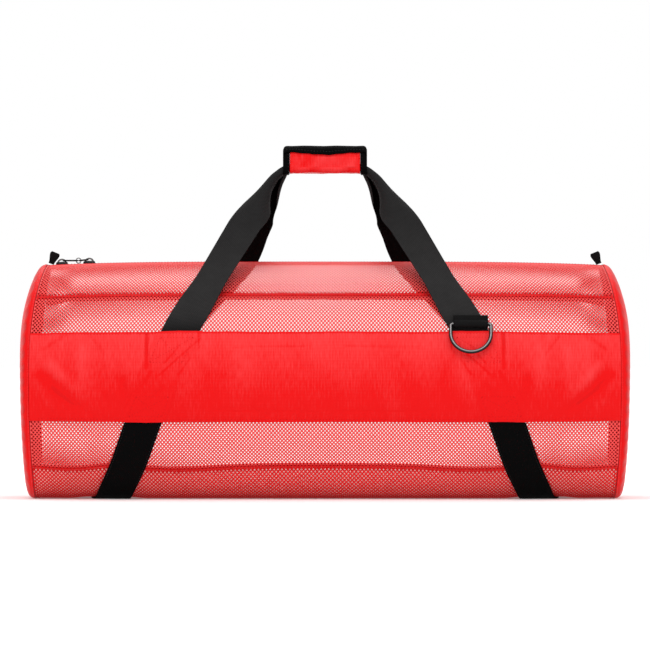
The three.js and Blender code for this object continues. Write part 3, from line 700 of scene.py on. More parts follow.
CELLS = {  # open share of a cell, cells along the bag, cells across
    "front_low": (0.46, 165, 13), "front_high": (0.54, 165, 11),
    "rear_low": (0.6, 160, 14), "rear_high": (0.66, 160, 11),
    "top_front": (0.52, 163, 16), "top_rear": (0.64, 160, 16), "floor": (0.54, 150, 31),
}
GAP = arc(0.00015)
TUCK = arc(0.004)
SEEN_LOW, SEEN_HIGH = BAND_BASE + TUCK, BAND_TOP - TUCK
arc_width = lambda low, high: math.radians(high - low) * BODY_RADIUS
front_low = lambda x: lower_seam(x) + GAP
rear_low = lambda x: rear_seam(x) + GAP
cell = (SEEN_LOW - LOWER_SEAM) / CELLS["front_low"][2]
upper_cell = (UPPER_SEAM - SEEN_HIGH) / CELLS["front_high"][2]
front_parts = [
    lattice(front_low, level(SEEN_LOW), *CELLS["front_low"]),
    plain_net(SEEN_LOW, SEEN_HIGH),
    lattice(level(SEEN_HIGH), level(UPPER_SEAM - GAP), *CELLS["front_high"]),
]
make_net("net_front", "front_net", front_parts, arc_width(LOWER_SEAM, UPPER_SEAM))
rear_tuck, rear_top = rear_match(SEEN_LOW + cell / 2), rear_match(SEEN_HIGH) - upper_cell / 2
rear_high = behind(lambda x: upper_rear_seam(x) - GAP)
rear_parts = [
    lattice(rear_high, level(180 - rear_top), *CELLS["rear_high"]),
    plain_net(180 - rear_top, 180 - rear_tuck),
    lattice(level(180 - rear_tuck), behind(rear_low), *CELLS["rear_low"]),
]
make_net("net_rear", "rear_net", rear_parts, arc_width(LOWER_SEAM, UPPER_SEAM))

# %% [markdown]
# ## Top and floor nets
#
# Two strips of the same net close the top on both sides of the zip, and a wide one is the floor.
# Low down at the front the floor net shows light through its holes, although it lies on the
# ground. An open floor would look dark there, so a pale sheet lies inside it: painted light
# that stands in for the light seen through the holes.

# %% Make the top, the floor and its lining
top_width = arc_width(UPPER_SEAM, ZIP_EDGE)
top_front = lattice(level(UPPER_SEAM + GAP), level(ZIP_EDGE), *CELLS["top_front"])
make_net("net_top_front", "top_net_front", [top_front], top_width)
rear_edge = behind(lambda x: upper_rear_seam(x) + GAP)
top_rear = lattice(level(180 - ZIP_EDGE), rear_edge, *CELLS["top_rear"])
make_net("net_top_rear", "top_net_rear", [top_rear], top_width)
floor_low = lambda x: -180 - rear_seam(x) + GAP
floor_high = lambda x: lower_seam(x) - GAP
floor_net = lattice(floor_low, floor_high, *CELLS["floor"])
floor_width = arc_width(-180 - LOWER_SEAM, LOWER_SEAM)
make_net("net_floor", "floor_net", [floor_net], floor_width, shaded_floor_yarn)


def floor_light_sheet():
    """A pale solid sheet inside the floor net: painted light, which makes its holes light."""
    x, share = np.meshgrid(np.linspace(-1, 1, 120), np.linspace(0, 1, 60), indexing="ij")
    low, high = floor_low(x * SEAM_REACH), floor_high(x * SEAM_REACH)
    angle = low + (high - low) * share
    x = x * (end_seam(angle) - 0.0006)
    outside, inside = on_skin(x, angle, -0.0017), on_skin(x, angle, -0.0023)
    cloth = together(x, np.radians(angle) * BODY_RADIUS)
    sheet = cloth_solid("floor_light_sheet", outside, inside, light_sheet, cloth)
    settle(sheet)


floor_light_sheet()
print("floor: net over a pale lining")

# %% [markdown]
# ## Seam tapes
#
# Inside the bag, a plain red tape covers each long seam and each end seam. It shows through the
# net as a darker stripe, and it is what gives the barrel its lines. A tape is a strip that
# follows the skin a little way in, with slow waves across it because it is only sewn at its edges.

# %% Tape the seams
TAPE_DEPTH = 0.0026
TAPE_WALL = 0.0014
SEAM_TAPE_WIDTH = 0.010
END_TAPE_WIDTH = 0.004
ZIP_WIDTH = 0.036


def tape_strip(name, node, x, angle, slack, cloth):
    wave = 0.0003 * np.sin(x * 190 + angle * 0.9) + 0.0002 * np.sin(x * 71 - angle * 0.4)
    depth = TAPE_DEPTH + slack + 0.0004
    outside = on_skin(x, angle, -depth + wave)
    inside = on_skin(x, angle, -depth - TAPE_WALL + 0.0004 + wave)
    tape = cloth_solid(name, outside, inside, seam_tape, cloth)
    settle(tape, node)
    length, width = np.ptp(cloth[..., 0]), np.ptp(cloth[..., 1])
    max(width, 0.01)


def long_tape(node, seam):
    reach = end_seam(seam(0.4)) - END_TAPE_WIDTH - 0.0016
    share = np.linspace(-0.5, 0.5, 6)[None, :]
    along = np.linspace(-reach, reach, 160)[:, None]
    x = along + 0 * share
    angle = seam(x) + arc(SEAM_TAPE_WIDTH) * share
    cloth = together(x, SEAM_TAPE_WIDTH * share)
    tape_strip(node + "_sewn", node, x, angle, 0, cloth)


def end_tape(node, side):
    notch = arc(ZIP_WIDTH / 2 + 0.002)
    angle = np.linspace(90 + notch, 450 - notch, 150)[:, None] + np.zeros((1, 7))
    share = np.linspace(0, 1, 7)[None, :]
    x = side * (end_seam(angle) - 0.0005 - END_TAPE_WIDTH * share)
    slack = 0.002 * smooth_step(-np.sin(np.radians(angle)), 0.5, 0.85)
    cloth = together(np.radians(angle) * BODY_RADIUS, END_TAPE_WIDTH * share)
    if side > 0:
        x, angle, slack, cloth = x[:, ::-1], angle[:, ::-1], slack[:, ::-1], cloth[:, ::-1]
    tape_strip(node + "_sewn", node, x[::-1], angle[::-1], slack[::-1], cloth[::-1])


long_tape("seam_tape_upper_front", level(UPPER_SEAM))
long_tape("seam_tape_lower_front", lower_seam)
long_tape("seam_tape_upper_rear", behind(upper_rear_seam))
long_tape("seam_tape_lower_rear", lambda x: -180 - rear_seam(x))
end_tape("end_tape_left", -1)
end_tape("end_tape_right", 1)
print("tapes: 4 long seams and 2 end seams")

# %% [markdown]
# ## End panels
#
# Each end is a round panel of ripstop, cut a little too large, so it bulges out and gathers in
# small pleats where it is sewn to the net. A sphere cut in half would have its grid lines meet
# in a point. Here a square grid is pressed into a round one, ring by ring, which keeps the
# middle clean, and the pleats are a wave along the rim that dies out towards the middle. The
# rim, the pleats and the slack cloth are painted darker: painted shade.

# %% Fill the ends
CLOTH_WALL = 0.0012
END_BULGE = 0.018
PANEL_POINTS = 81
RIM_SHADE = -0.56  # the darkest painted shade that the outside may get, short of the inside's painted shade


def round_grid(count):
    """Share of the radius and angle for a square grid pressed into a disc."""
    u, v = np.meshgrid(np.linspace(-1, 1, count), np.linspace(-1, 1, count), indexing="ij")
    wide = np.abs(u) >= np.abs(v)
    safe_u, safe_v = np.where(u == 0, 1, u), np.where(v == 0, 1, v)
    level_turn = np.where(u < 0, 180, 0) + 45 * v / safe_u
    upright_turn = np.where(v < 0, 270, 90) - 45 * u / safe_v
    ring = np.maximum(np.abs(u), np.abs(v))
    return 1 - (1 - ring) ** 2.2, np.where(wide, level_turn, upright_turn)


def end_panel(node, side):
    share, angle = round_grid(PANEL_POINTS)
    if side > 0:
        share, angle = share[:, ::-1], angle[:, ::-1]
    rim = skin(side * end_seam(angle), angle)
    turn = np.radians(angle)
    fall = share**3
    near_rim = smooth_step(share, 0.72, 0.95) * (1 - smooth_step(share, 0.985, 1))
    pleats = 0.00045 * (1 + np.sin(47 * turn + 2.5 * np.sin(3 * turn))) * near_rim
    slack = 0.0035 * (1 + np.sin(2 * turn + 0.7 + 3 * share)) * (4 * share * (1 - share)) ** 2
    seam = SEAM_REACH + (np.abs(rim[..., 0]) - SEAM_REACH) * fall
    reach = seam + 0.0003 + END_BULGE * np.maximum(0, 1 - fall) ** 0.27 - pleats - slack
    height = AXIS_HEIGHT + (rim[..., 2] - AXIS_HEIGHT) * share
    outside = together(side * reach, rim[..., 1] * share, height)
    inside = outside - np.array([side * CLOTH_WALL, 0, 0])
    # painted shade: darker on slack cloth, in the pleats and towards the rim
    painted_light_and_shade = 0.45 - 70 * slack - 350 * pleats - 0.9 * smooth_step(share, 0.84, 0.98)
    painted_light_and_shade = np.maximum(painted_light_and_shade, RIM_SHADE)
    cloth = np.concatenate([outside[..., 1:], painted_light_and_shade[..., None]], -1)
    panel = cloth_solid(node + "_sewn", outside, inside, ripstop, cloth, shaded_inside=True)
    settle(panel, node)


end_panel("end_panel_left", -1)
end_panel("end_panel_right", 1)
print("end panels: 2 round panels that bulge", END_BULGE, "m")

# %% [markdown]
# ## Bands
#
# A band of ripstop is sewn along the front and another along the rear, over the webbing. It has
# a rolled hem at its top edge, the webbing under it shows as a ridge, and the cloth between is
# slack: it puckers at the hems and folds near the ends. A cloth simulation would give folds, but
# not these ones. So one table has its soft folds and another its sharp creases, each row a line
# with a width and a height, and a few long ripples make the rest uneven.

# %% Folds, creases and ripples
FOLDS = [  # from (reach, angle) to (reach, angle), width, height
    ((0.2455, 24.5), (0.2455, 13.0), 0.0040, 0.0010),
    ((0.2560, 24.0), (0.2575, 8.0), 0.0045, 0.0012),
    ((0.4010, 6.5), (0.3520, -9.5), 0.0065, -0.0030),
    ((0.4080, 0.0), (0.3830, -10.5), 0.0050, 0.0020),
    ((0.3860, 9.5), (0.3420, -5.0), 0.0070, 0.0018),
    ((0.3410, 16.0), (0.3430, -1.0), 0.0060, 0.0013),
    ((0.3700, 19.0), (0.3720, 4.0), 0.0060, 0.0010),
    ((0.2850, 3.0), (0.2760, -10.0), 0.0060, -0.0014),
    ((0.3050, 14.0), (0.2990, -2.0), 0.0080, 0.0012),
    ((0.1950, 21.0), (0.1650, 4.0), 0.0060, -0.0010),
    ((0.2700, -4.0), (0.2480, -15.0), 0.0040, -0.0010),
]
# Creases are also painted dark in the finish: painted shade.
CREASES = [  # the same, but sharp and dark
    ((0.2506, 25.2), (0.2512, 8.0), 0.0020, -0.0032),
    ((0.2280, -0.4), (0.2676, -12.9), 0.0022, -0.0013),
    ((0.1775, 25.0), (0.1775, 16.0), 0.0016, -0.0014),
    ((0.2324, 4.7), (0.1760, 21.2), 0.0014, -0.0009),
    ((0.2250, 10.2), (0.2050, 17.8), 0.0014, -0.0008),
    ((0.2050, 5.0), (0.1900, 12.0), 0.0014, -0.0007),
    ((0.2450, 6.0), (0.2620, -3.0), 0.0018, -0.0012),
    ((0.2620, -6.0), (0.2780, -14.5), 0.0016, -0.0010),
    ((0.4030, 5.0), (0.3560, -9.0), 0.0045, -0.0009),
    ((0.3850, -2.0), (0.3300, -13.0), 0.0035, -0.0007),
    ((0.3950, 17.0), (0.3650, 24.0), 0.0030, -0.0006),
    ((0.3300, 23.0), (0.3100, 14.0), 0.0018, -0.0007),
    ((0.0300, 17.8), (0.1300, 17.2), 0.0014, -0.0005),
    ((0.0200, -11.9), (0.1600, -11.6), 0.0014, -0.0005),
]
RIPPLE_COUNT = 9
draws = np.random.default_rng(7)
RIPPLES = [  # period, direction, start of the wave
    (draws.uniform(0.05, 0.16), draws.uniform(-0.8, 0.8), draws.uniform(0, 6.28))
    for _ in range(RIPPLE_COUNT)
]


def fold_height(x, up, folds):
    total = np.zeros(np.shape(x))
    here = together(np.abs(x), up)
    for (start_x, start_angle), (end_x, end_angle), width, height in folds:
        start = np.array([start_x, math.radians(start_angle) * BODY_RADIUS])
        way = np.array([end_x, math.radians(end_angle) * BODY_RADIUS]) - start
        t = np.clip((here - start) @ way / (way @ way), 0, 1)
        away = np.linalg.norm(here - start - t[..., None] * way, axis=-1)
        total += height * (1 - 0.5 * t) * np.exp(-((away / width) ** 2))
    return total


def ripple_height(x, up):
    waves = [
        np.sin(2 * math.pi * (x * math.cos(way) + up * math.sin(way)) / period + start)
        for period, way, start in RIPPLES
    ]
    return np.sum(waves, axis=0) / len(RIPPLES)


def pucker(x, distance):
    """Small pleats that a row of stitches draws in, at some distance from the row."""
    wave = np.sin(x * 260 + 2.0 * np.sin(x * 41)) + 0.6 * np.sin(x * 397 + 1.3)
    return 0.00032 * wave * np.exp(-distance / 0.012)


print("bands:", len(FOLDS), "folds,", len(CREASES), "creases and", len(RIPPLES), "ripples")

# %% [markdown]
# ## Grids for the bands
#
# Folds need a fine mesh, and the ridge over the webbing needs edges that run along it. One even
# grid would take far more faces for both. So the columns follow the webbing's edges and crowd
# round the sharpest crease, and the rows crowd at the hems.

# %% Columns and rows of a band
WEB_SLANT = 0.92
BAND_WIDTH = arc_width(BAND_BASE, BAND_TOP)
WEB_EDGE = WEB_WIDTH / 2 + 0.0006  # where the band starts to fall beside the webbing
INNER_COLUMNS = [66, 5, 36, 5]
OUTER_COLUMNS = 116
MIDDLE_ROWS = 62


def spread_columns(low, high, count):
    """Places between two ends, much closer together round the upright crease."""
    x = np.linspace(low, high, 500)
    share = np.cumsum(1 + 4 * np.exp(-(((x - CREASES[0][0][0]) / 0.0045) ** 2)))
    return np.interp(np.linspace(share[0], share[-1], count + 1), share, x)


def band_columns(angle, turned):
    """Half the columns of a band, as places along the bag for each angle."""
    near = WEB_EDGE / WEB_SLANT
    far = near + 0.0065
    reach, end = web_reach(angle, turned), end_seam(angle) - 0.0002
    places = [0 * reach, reach - far, reach - near, reach + near, reach + far]
    columns = []
    for low, high, count in zip(places, places[1:], INNER_COLUMNS):
        columns += [low + (high - low) * k / count for k in range(count)]
    outer = [spread_columns(a, b, OUTER_COLUMNS) for a, b in zip(places[-1], end)]
    return np.concatenate([np.stack(columns), np.stack(outer, -1)])


def band_rows():
    top = [0, 0.0006, 0.0013, 0.0019, 0.0025, 0.0032, 0.0048, 0.0075, 0.0115]
    middle = np.linspace(0.0135, BAND_WIDTH - 0.0065, MIDDLE_ROWS)
    base = BAND_WIDTH - np.array([0.0045, 0.0025, 0.001, 0])
    return np.concatenate([top, middle, base])[::-1]


print("band grid:", 2 * (sum(INNER_COLUMNS) + OUTER_COLUMNS) + 1, "by", len(band_rows()), "points")

# %% [markdown]
# ## Sewing on the bands
#
# A band's height over the skin is a sum: the webbing below it, slack cloth that is held at the
# hems and the ends, and the rolled hem. The same sum gives the painted light and shade for the
# finish: high cloth is painted pale, and creases, the hem and the cloth over the webbing are
# painted dark. The band's upper part is painted paler too, as light from above falls on it.

# %% Sew on the bands
BAND_PUFF = 0.0026
WEB_COVER = 0.0027
HEM = 0.0022
HEM_SHADE = 1000
CREASE_SHADE = 480
BAND_SHADE = -0.5  # the darkest that the outside may get


def band_offset(x, angle, from_top, turned):
    """Heights of a band's inside over the skin, and its painted light and shade."""
    from_base = BAND_WIDTH - from_top
    share = from_base / BAND_WIDTH
    belly = np.sin(math.pi * np.clip(share, 0, 1)) ** 0.6
    at_end = smooth_step(end_seam(angle) - np.abs(x), 0, 0.04)
    up = np.radians(angle) * BODY_RADIUS
    slack = BAND_PUFF * (0.55 + 0.6 * ripple_height(x, up)) + fold_height(x, up, FOLDS)
    crease = fold_height(x, up, CREASES)
    away = np.abs(np.abs(x) - web_reach(angle, turned)) * WEB_SLANT
    over_web = 1 - smooth_step(away, WEB_EDGE, WEB_WIDTH / 2 + 0.0062)
    sewn_down = 1 - 0.75 * over_web
    loose = slack * belly * at_end * sewn_down
    base = LAYER_GAP + (WEB_COVER - LAYER_GAP) * over_web
    hem = 0.0006 * (1 - smooth_step(from_top, HEM - 0.0006, HEM + 0.0004))
    edges = pucker(x, from_top) + pucker(x + 0.3, from_base)
    lifted = np.maximum(0, loose + (edges + crease) * at_end)
    # painted light and shade: folds and puckers painted paler, the upper part painted paler as
    # light from above falls on it, the cloth over the webbing, the hem and the creases painted
    # darker
    folded = (slack - 0.55 * BAND_PUFF) * belly * at_end * sewn_down + edges
    painted_top_light = 0.08 + 0.54 * smooth_step(share, 0.15, 0.85)
    painted_light_and_shade = np.clip(painted_top_light + folded / 0.0045 - 0.1 * over_web - HEM_SHADE * hem, -0.3, 1)
    return base + lifted + hem, np.maximum(painted_light_and_shade + CREASE_SHADE * crease, BAND_SHADE)


def band_grid(turned):
    from_top = band_rows()[None, :]
    angle = BAND_TOP - np.degrees(from_top / BODY_RADIUS)
    half = band_columns(angle[0], turned)
    x = np.concatenate([-half[:0:-1], half])
    sway = 0.0004 * np.sin(x * 31 + 0.6) + 0.0002 * np.sin(x * 83)
    angle = angle + np.degrees(sway / BODY_RADIUS)
    offset, painted_light_and_shade = band_offset(x, angle, from_top, turned)
    return x, (180 - angle if turned else angle), offset, from_top, painted_light_and_shade


def band(node, turned):
    x, angle, offset, from_top, painted_light_and_shade = band_grid(turned)
    inside, outside = on_skin(x, angle, offset), on_skin(x, angle, offset + CLOTH_WALL)
    cloth = together(x, -from_top, painted_light_and_shade)
    if turned:
        inside, outside, cloth = inside[:, ::-1], outside[:, ::-1], cloth[:, ::-1]
    piece = cloth_solid(node + "_sewn", outside, inside, ripstop, cloth, shaded_inside=True)
    settle(piece, node)
    np.ptp(from_top)
    print(f"{node}: {len(piece.data.polygons)} faces")


band("front_band", False)
band("rear_band", True)

# %% [markdown]
# ## Webbing
#
# Each handle is one length of webbing. It starts under the floor, runs up over the net and under
# the band, leaves the barrel near the top, leans in to the grip, rolls up into a flattened tube
# there, and goes down the other side in the same way. The rear one bows in more and starts to
# roll up lower down. A curve with a flat bevel can't roll up like that. So the webbing is swept
# in code: a row of stations along the path, each with a direction that its face looks to and an
# angle that its width is curled through.

# %% Curves through points
def curve_through(points, steps=40):
    """A smooth curve from the second point to the last one."""
    points = np.vstack([points, 2 * np.asarray(points[-1]) - points[-2]])
    t = np.linspace(0, 1, steps, endpoint=False)[:, None]
    runs = []
    for k in range(1, len(points) - 2):
        p0, p1, p2, p3 = points[k - 1 : k + 3]
        d0, d1, d2 = (np.linalg.norm(b - a) ** 0.5 for a, b in ((p0, p1), (p1, p2), (p2, p3)))
        leave = ((p1 - p0) / d0 - (p2 - p0) / (d0 + d1) + (p2 - p1) / d1) * d1
        arrive = ((p2 - p1) / d1 - (p3 - p1) / (d1 + d2) + (p3 - p2) / d2) * d1
        ends = p1 * (1 + 2 * t) * (1 - t) ** 2 + p2 * t * t * (3 - 2 * t)
        runs.append(ends + leave * t * (1 - t) ** 2 - arrive * t * t * (1 - t))
    return np.concatenate(runs + [points[-2:-1]])


def run_lengths(points):
    return np.concatenate([[0], np.cumsum(np.linalg.norm(np.diff(points, axis=0), axis=1))])


def sample(points, lengths, at):
    return together(*[np.interp(at, lengths, column) for column in points.T])


def turned_about(v, axis, angle):
    c, s = np.cos(angle)[:, None], np.sin(angle)[:, None]
    return v * c + np.cross(axis, v) * s + axis * np.sum(axis * v, 1, keepdims=True) * (1 - c)


print("helpers: curve_through, run_lengths, sample, turned_about")

# %% [markdown]
# ## Paths of the handles
#
# A leg follows the barrel at first, and then a few way points up to the grip. Both legs of a
# handle are alike, so one is worked out from the floor to the middle of the grip, and the other
# is its mirror image. The rear handle is planned as a front one and turned round later.

# %% Plan the handles' paths
LIFT_OFF = 33.0
GRIP_LENGTH = 0.120
GRIP_BASE = 0.461
ROLL_CURL = math.radians(335)
CURL_START = 0.385
ROLL_RADIUS = WEB_WIDTH / ROLL_CURL
REAR_LEAN = 0.009
FRONT_LEAN = -0.0015
ROLL_HEIGHT = GRIP_BASE + 0.0095
FRONT_ROLL = CURL_START + 0.003, ROLL_HEIGHT - 0.0045  # heights from flat to rolled up
REAR_ROLL = CURL_START - 0.013, ROLL_HEIGHT - 0.0085
ROLL_FACE = -0.0003 - 2 * ROLL_RADIUS - WEB_WALL / 2
FREE_TWIST = math.radians(22)
REAR_BOW = 0.018
STATION_STEP = 0.004


def web_leg(rear):
    """Centres, facings and curls from the floor to the middle of the grip."""
    angle = np.linspace(-90 + arc(0.0014), LIFT_OFF, 200)
    x = web_reach(angle, rear)
    bridge = 0.0009 * np.exp(-(((angle + 64) / 9) ** 2))
    on_body = on_skin(x, angle, LAYER_GAP + WEB_WALL / 2 + bridge)
    facing = skin_normal(x, angle)
    start = on_body[-1]
    end, bow = GRIP_LENGTH / 2, REAR_BOW if rear else 0.0
    inward = REAR_LEAN if rear else FRONT_LEAN
    elbow = np.array([end + 0.013 - inward, ROLL_FACE - 0.001, ROLL_HEIGHT - 0.016])
    bowed = lambda share, inward: start + (elbow - start) * share - np.array([inward, 0, 0])
    way = [on_body[-6], start, bowed(0.4, 1.25 * bow), bowed(0.75, 0.17 * bow)]
    way += [bowed(0.87, 0.28 * bow), elbow] if rear else [elbow]
    ahead = [(0.005 - 0.6 * inward, 0.008), (-0.0005 - 0.3 * inward, 0.0035)]
    for beside, below in ahead + [(-0.008, 0.0005), (-0.020, 0), (-end, 0)]:
        way.append((end + beside, ROLL_FACE, ROLL_HEIGHT - below))
    free = curve_through(np.array(way))[1:]
    z = free[:, 2]
    share = smooth_step(z, start[2], ROLL_HEIGHT - 0.020)
    untwisted = smooth_step(z, CURL_START, ROLL_HEIGHT - 0.015)
    turn = FREE_TWIST * smooth_step(z, start[2], start[2] + 0.060) * (1 - untwisted)
    ahead = unit(np.gradient(free, axis=0))
    looks = unit(facing[-1] + (np.array([0, -1, 0]) - facing[-1]) * share[:, None])
    looks = turned_about(looks, ahead, turn)
    low, high = REAR_ROLL if rear else FRONT_ROLL
    evenly = np.clip((z - low) / (high - low), 0, 1)
    curl = ROLL_CURL * (smooth_step(z, low, high) + evenly) / 2
    centres = np.vstack([on_body, free])
    lengths = run_lengths(centres)
    at = np.linspace(0, lengths[-1], round(lengths[-1] / STATION_STEP))
    curls = np.concatenate([0 * angle, curl])[:, None]
    facing = np.vstack([facing, looks])
    return [sample(rows, lengths, at) for rows in (centres, facing, curls)]


def web_frames(rear):
    centres, facing, curl = web_leg(rear)
    flip = np.array([-1, 1, 1])
    centres = np.vstack([centres, centres[-2::-1] * flip])
    facing = np.vstack([facing, facing[-2::-1] * flip])
    curl = np.vstack([curl, curl[-2::-1]])
    ahead = unit(np.gradient(centres, axis=0))
    across = unit(np.cross(ahead, facing))
    return centres, across, unit(np.cross(across, ahead)), curl


web_frames_front, web_frames_rear = web_frames(False), web_frames(True)
print("handles:", len(web_frames_front[0]), "and", len(web_frames_rear[0]), "stations")

# %% [markdown]
# ## Weaving the handles
#
# A strap's yarns turn back at its edges, so its section is flat with round ends. Each station
# bends that section through its own curl and squashes the roll. In the grip both handles follow
# its arch. The outside of the free upper part gets a painted sheen from the light above, which
# makes it a little paler.

# %% Weave the handles
ROLL_SQUASH = 0.38
WEB_COLUMNS = 19
TO_REAR = np.array([1, -1, 1])


def web_point(frames, v, offset):
    """Points of the webbing at places v across it and heights over its middle layer."""
    centres, across, out, curl = frames
    bend = np.maximum(curl, 1e-4) / WEB_WIDTH
    turn = v * bend
    flatter = 1 - ROLL_SQUASH * smooth_step(curl / ROLL_CURL, 0.4, 1.0)
    side = (np.sin(turn) / bend + offset * np.sin(turn)) * flatter
    rise = offset * np.cos(turn) - (1 - np.cos(turn)) / bend
    return centres[:, None] + across[:, None] * side[..., None] + out[:, None] * rise[..., None]


def strap_section(width, wall, count):
    """A flat section with round edges: places across it and heights."""
    flat = np.linspace(-1, 1, count) * (width - wall) / 2
    edge = np.radians([45, 0, -45])
    right = (width - wall) / 2 + wall / 2 * np.cos(edge)
    rise = wall / 2 * np.sin(edge)
    v = np.concatenate([flat, right, flat[::-1], -right])
    return v, np.concatenate([0 * flat + wall / 2, rise, 0 * flat - wall / 2, -rise])


def soften(points):
    """Rounds the grip's top corners, and arches its lower side and what lies in it."""
    x, y, z = np.moveaxis(points, -1, 0)
    out = np.clip((np.abs(x) - 0.054) / 0.006, 0, 1)
    top_drop = 0.006 * (1 - np.sqrt(1 - out**2)) * smooth_step(z, 0.478, 0.497)
    arch = 0.003 * (1 - smooth_step(np.abs(x), 0.043, 0.058)) * (1 - smooth_step(z, 0.466, 0.484))
    return together(x, y, z - top_drop + arch)


def handle(node, frames, rear):
    v, offset = strap_section(WEB_WIDTH, WEB_WALL, WEB_COLUMNS)
    points = soften(web_point(frames, v[None, :], offset[None, :]))
    faces = tube_faces(*points.shape[:2])
    if rear:
        points = points * TO_REAR
    else:
        faces = [part[:, ::-1] for part in faces]
    length = run_lengths(frames[0])
    z = points[..., 2]
    # painted sheen: the strap's outside is painted paler from about 0.22 m up, where light from
    # above falls on it
    painted_sheen = smooth_step(z, 0.22, 0.27) * (1 - 0.3 * smooth_step(z, 0.30, 0.42)) * (offset > 0)
    cloth = together(length[:, None], v[None, :] + WEB_WIDTH, painted_sheen)
    piece = make_object(node + "_woven", points, faces, webbing, cloth)
    settle(piece, node)
    print(f"{node}: {length[-1]:.3f} m of {WEB_WIDTH} m webbing")


handle("webbing_front", web_frames_front, False)
handle("webbing_rear", web_frames_rear, True)

# %% [markdown]
# ## Grip
#
# A padded sleeve of red cloth wraps both handles. Its ends are bound with black tape, and a
# black flap closes it along the top. The wrap is soft: its top corners are rounded, its lower
# side arches a little and its cloth has shallow dents. Every piece of it is swept round one
# rounded section, so they fit inside each other. One function then bends them all together.

# %% The grip's section
GRIP_HEIGHT = 0.039
GRIP_DEPTH = 0.045
GRIP_TOP_CORNER = 0.0125
GRIP_LOW_CORNER = 0.007
GRIP_WALL = 0.003
GRIP_FILL = 0.019
HOLLOW_CORNER = 0.005


def rounded_section(depth, base, height, low_corner, top_corner, per_corner=9, per_side=9):
    """Points and directions round the grip, seen from its end, from the front's low corner on."""
    points, looks = [], []
    middle = np.array([0, base + height / 2])
    corners = [(-1, -1, low_corner), (1, -1, low_corner), (1, 1, top_corner), (-1, 1, top_corner)]
    for number, (sy, sz, radius) in enumerate(corners):
        turn = np.radians(180 + 90 * number + np.linspace(0, 90, per_corner))
        look = together(np.cos(turn), np.sin(turn))
        centre = middle + (np.array([depth, height]) / 2 - radius) * (sy, sz)
        points.append(centre + radius * look)
        looks.append(look)
    for number in range(4):
        start, ahead = points[2 * number][-1], points[(2 * number + 1) % len(points)][0]
        share = np.linspace(0, 1, per_side + 2)[1:-1, None]
        points.insert(2 * number + 1, start + (ahead - start) * share)
        looks.insert(2 * number + 1, np.repeat(looks[2 * number][-1:], per_side, 0))
    return np.concatenate(points), np.concatenate(looks)


section_points, section_looks = rounded_section(
    GRIP_DEPTH, GRIP_BASE, GRIP_HEIGHT, GRIP_LOW_CORNER, GRIP_TOP_CORNER)
hollow_points, _ = rounded_section(
    GRIP_DEPTH - 2 * GRIP_WALL, GRIP_BASE + GRIP_WALL,
    GRIP_HEIGHT - GRIP_WALL - GRIP_FILL, HOLLOW_CORNER, HOLLOW_CORNER)
section_around = run_lengths(np.vstack([section_points, section_points[:1]]))
print(f"grip: {GRIP_LENGTH} m long, {section_around[-1]:.3f} m round")

# %% [markdown]
# ## Sleeve and bindings
#
# The sleeve and its two bindings are rings round that section. In side view each is a bar with
# rounded ends, so one helper sweeps such a bar round the section. The sleeve's dents are a sum of
# waves, held flat at its ends and under the flap, and where they swell the cloth is painted
# paler: painted light.

# %% Wrap the grip
GRIP_BINDING = 0.0095
SEAM_GAP = 0.0003
BAR_ROUND = 0.0012
FLAP_EDGE = 0.4926


def swept_ring(name, x, offset, finish, painted_light_and_shade=0.0):
    """A closed tube: a closed profile of (x, offset) rows, swept round the section."""
    depth = np.clip(-offset / GRIP_WALL, 0, 1)[..., None]
    surface = section_points[None] + section_looks[None] * np.maximum(offset, 0)[..., None]
    place = surface + (hollow_points[None] - surface) * depth
    along = np.broadcast_to(x[:, None], offset.shape)
    points = soften(np.concatenate([along[..., None], place], -1))
    rows, columns = offset.shape
    cloth = together(along, section_around[None, :-1], painted_light_and_shade)
    return make_object(name, points, [grid_faces(rows, columns, 0, True, True)], finish, cloth)


def profile(start, end, low, high, steps):
    """A rounded bar in side view, as rows of x and offset, outside first."""
    r = min(BAR_ROUND, (high - low) / 2.2)
    corner = np.radians(np.linspace(0, 90, 4))
    flat = np.linspace(start + r, end - r, steps)[1:-1]
    x = [start + r - r * np.cos(corner), flat, end - r + r * np.sin(corner)]
    z = [high - r + r * np.sin(corner), np.full(steps - 2, high), high - r + r * np.cos(corner)]
    x, z = np.concatenate(x), np.concatenate(z)
    return np.concatenate([x, x[::-1]]), np.concatenate([z, (low + high) - z[::-1]])


def grip_sleeve():
    reach = GRIP_LENGTH / 2 - GRIP_BINDING - SEAM_GAP
    x, rise = profile(-reach, reach, -GRIP_WALL, 0.0, 60)
    along, around = x[:, None], section_around[None, :-1]
    dents = np.sin(along * 130 + around * 60) + 0.7 * np.sin(along * 71 - around * 95 + 1.0)
    dents += 0.5 * np.sin(along * 240 + around * 150 + 2.0)
    middle = 1 - smooth_step(np.abs(along), reach - 0.012, reach)
    under_flap = smooth_step(section_points[None, :, 1], FLAP_EDGE - 0.008, FLAP_EDGE - 0.003)
    swell = (0.0006 + 0.00035 * dents) * middle * (1 - under_flap)
    offset = rise[:, None] + np.where(rise[:, None] > -GRIP_WALL / 2, swell, 0)
    # painted light: where the dents swell the cloth, its colour is painted paler
    sleeve = swept_ring("grip_sleeve_padded", x, offset, ripstop, 0.25 + swell / 0.002)
    settle(sleeve, "grip_sleeve")


def grip_binding(node, side):
    inner, outer = GRIP_LENGTH / 2 - GRIP_BINDING, GRIP_LENGTH / 2
    low, high = (inner, outer) if side > 0 else (-outer, -inner)
    x, rise = profile(low, high, -GRIP_WALL, 0.0003, 8)
    piece = swept_ring(node + "_sewn", x, rise[:, None] + 0 * section_around[None, :-1], binding)
    settle(piece, node)


grip_sleeve()
grip_binding("grip_binding_left", -1)
grip_binding("grip_binding_right", 1)
print("grip: a sleeve and 2 bindings of", GRIP_BINDING, "m")

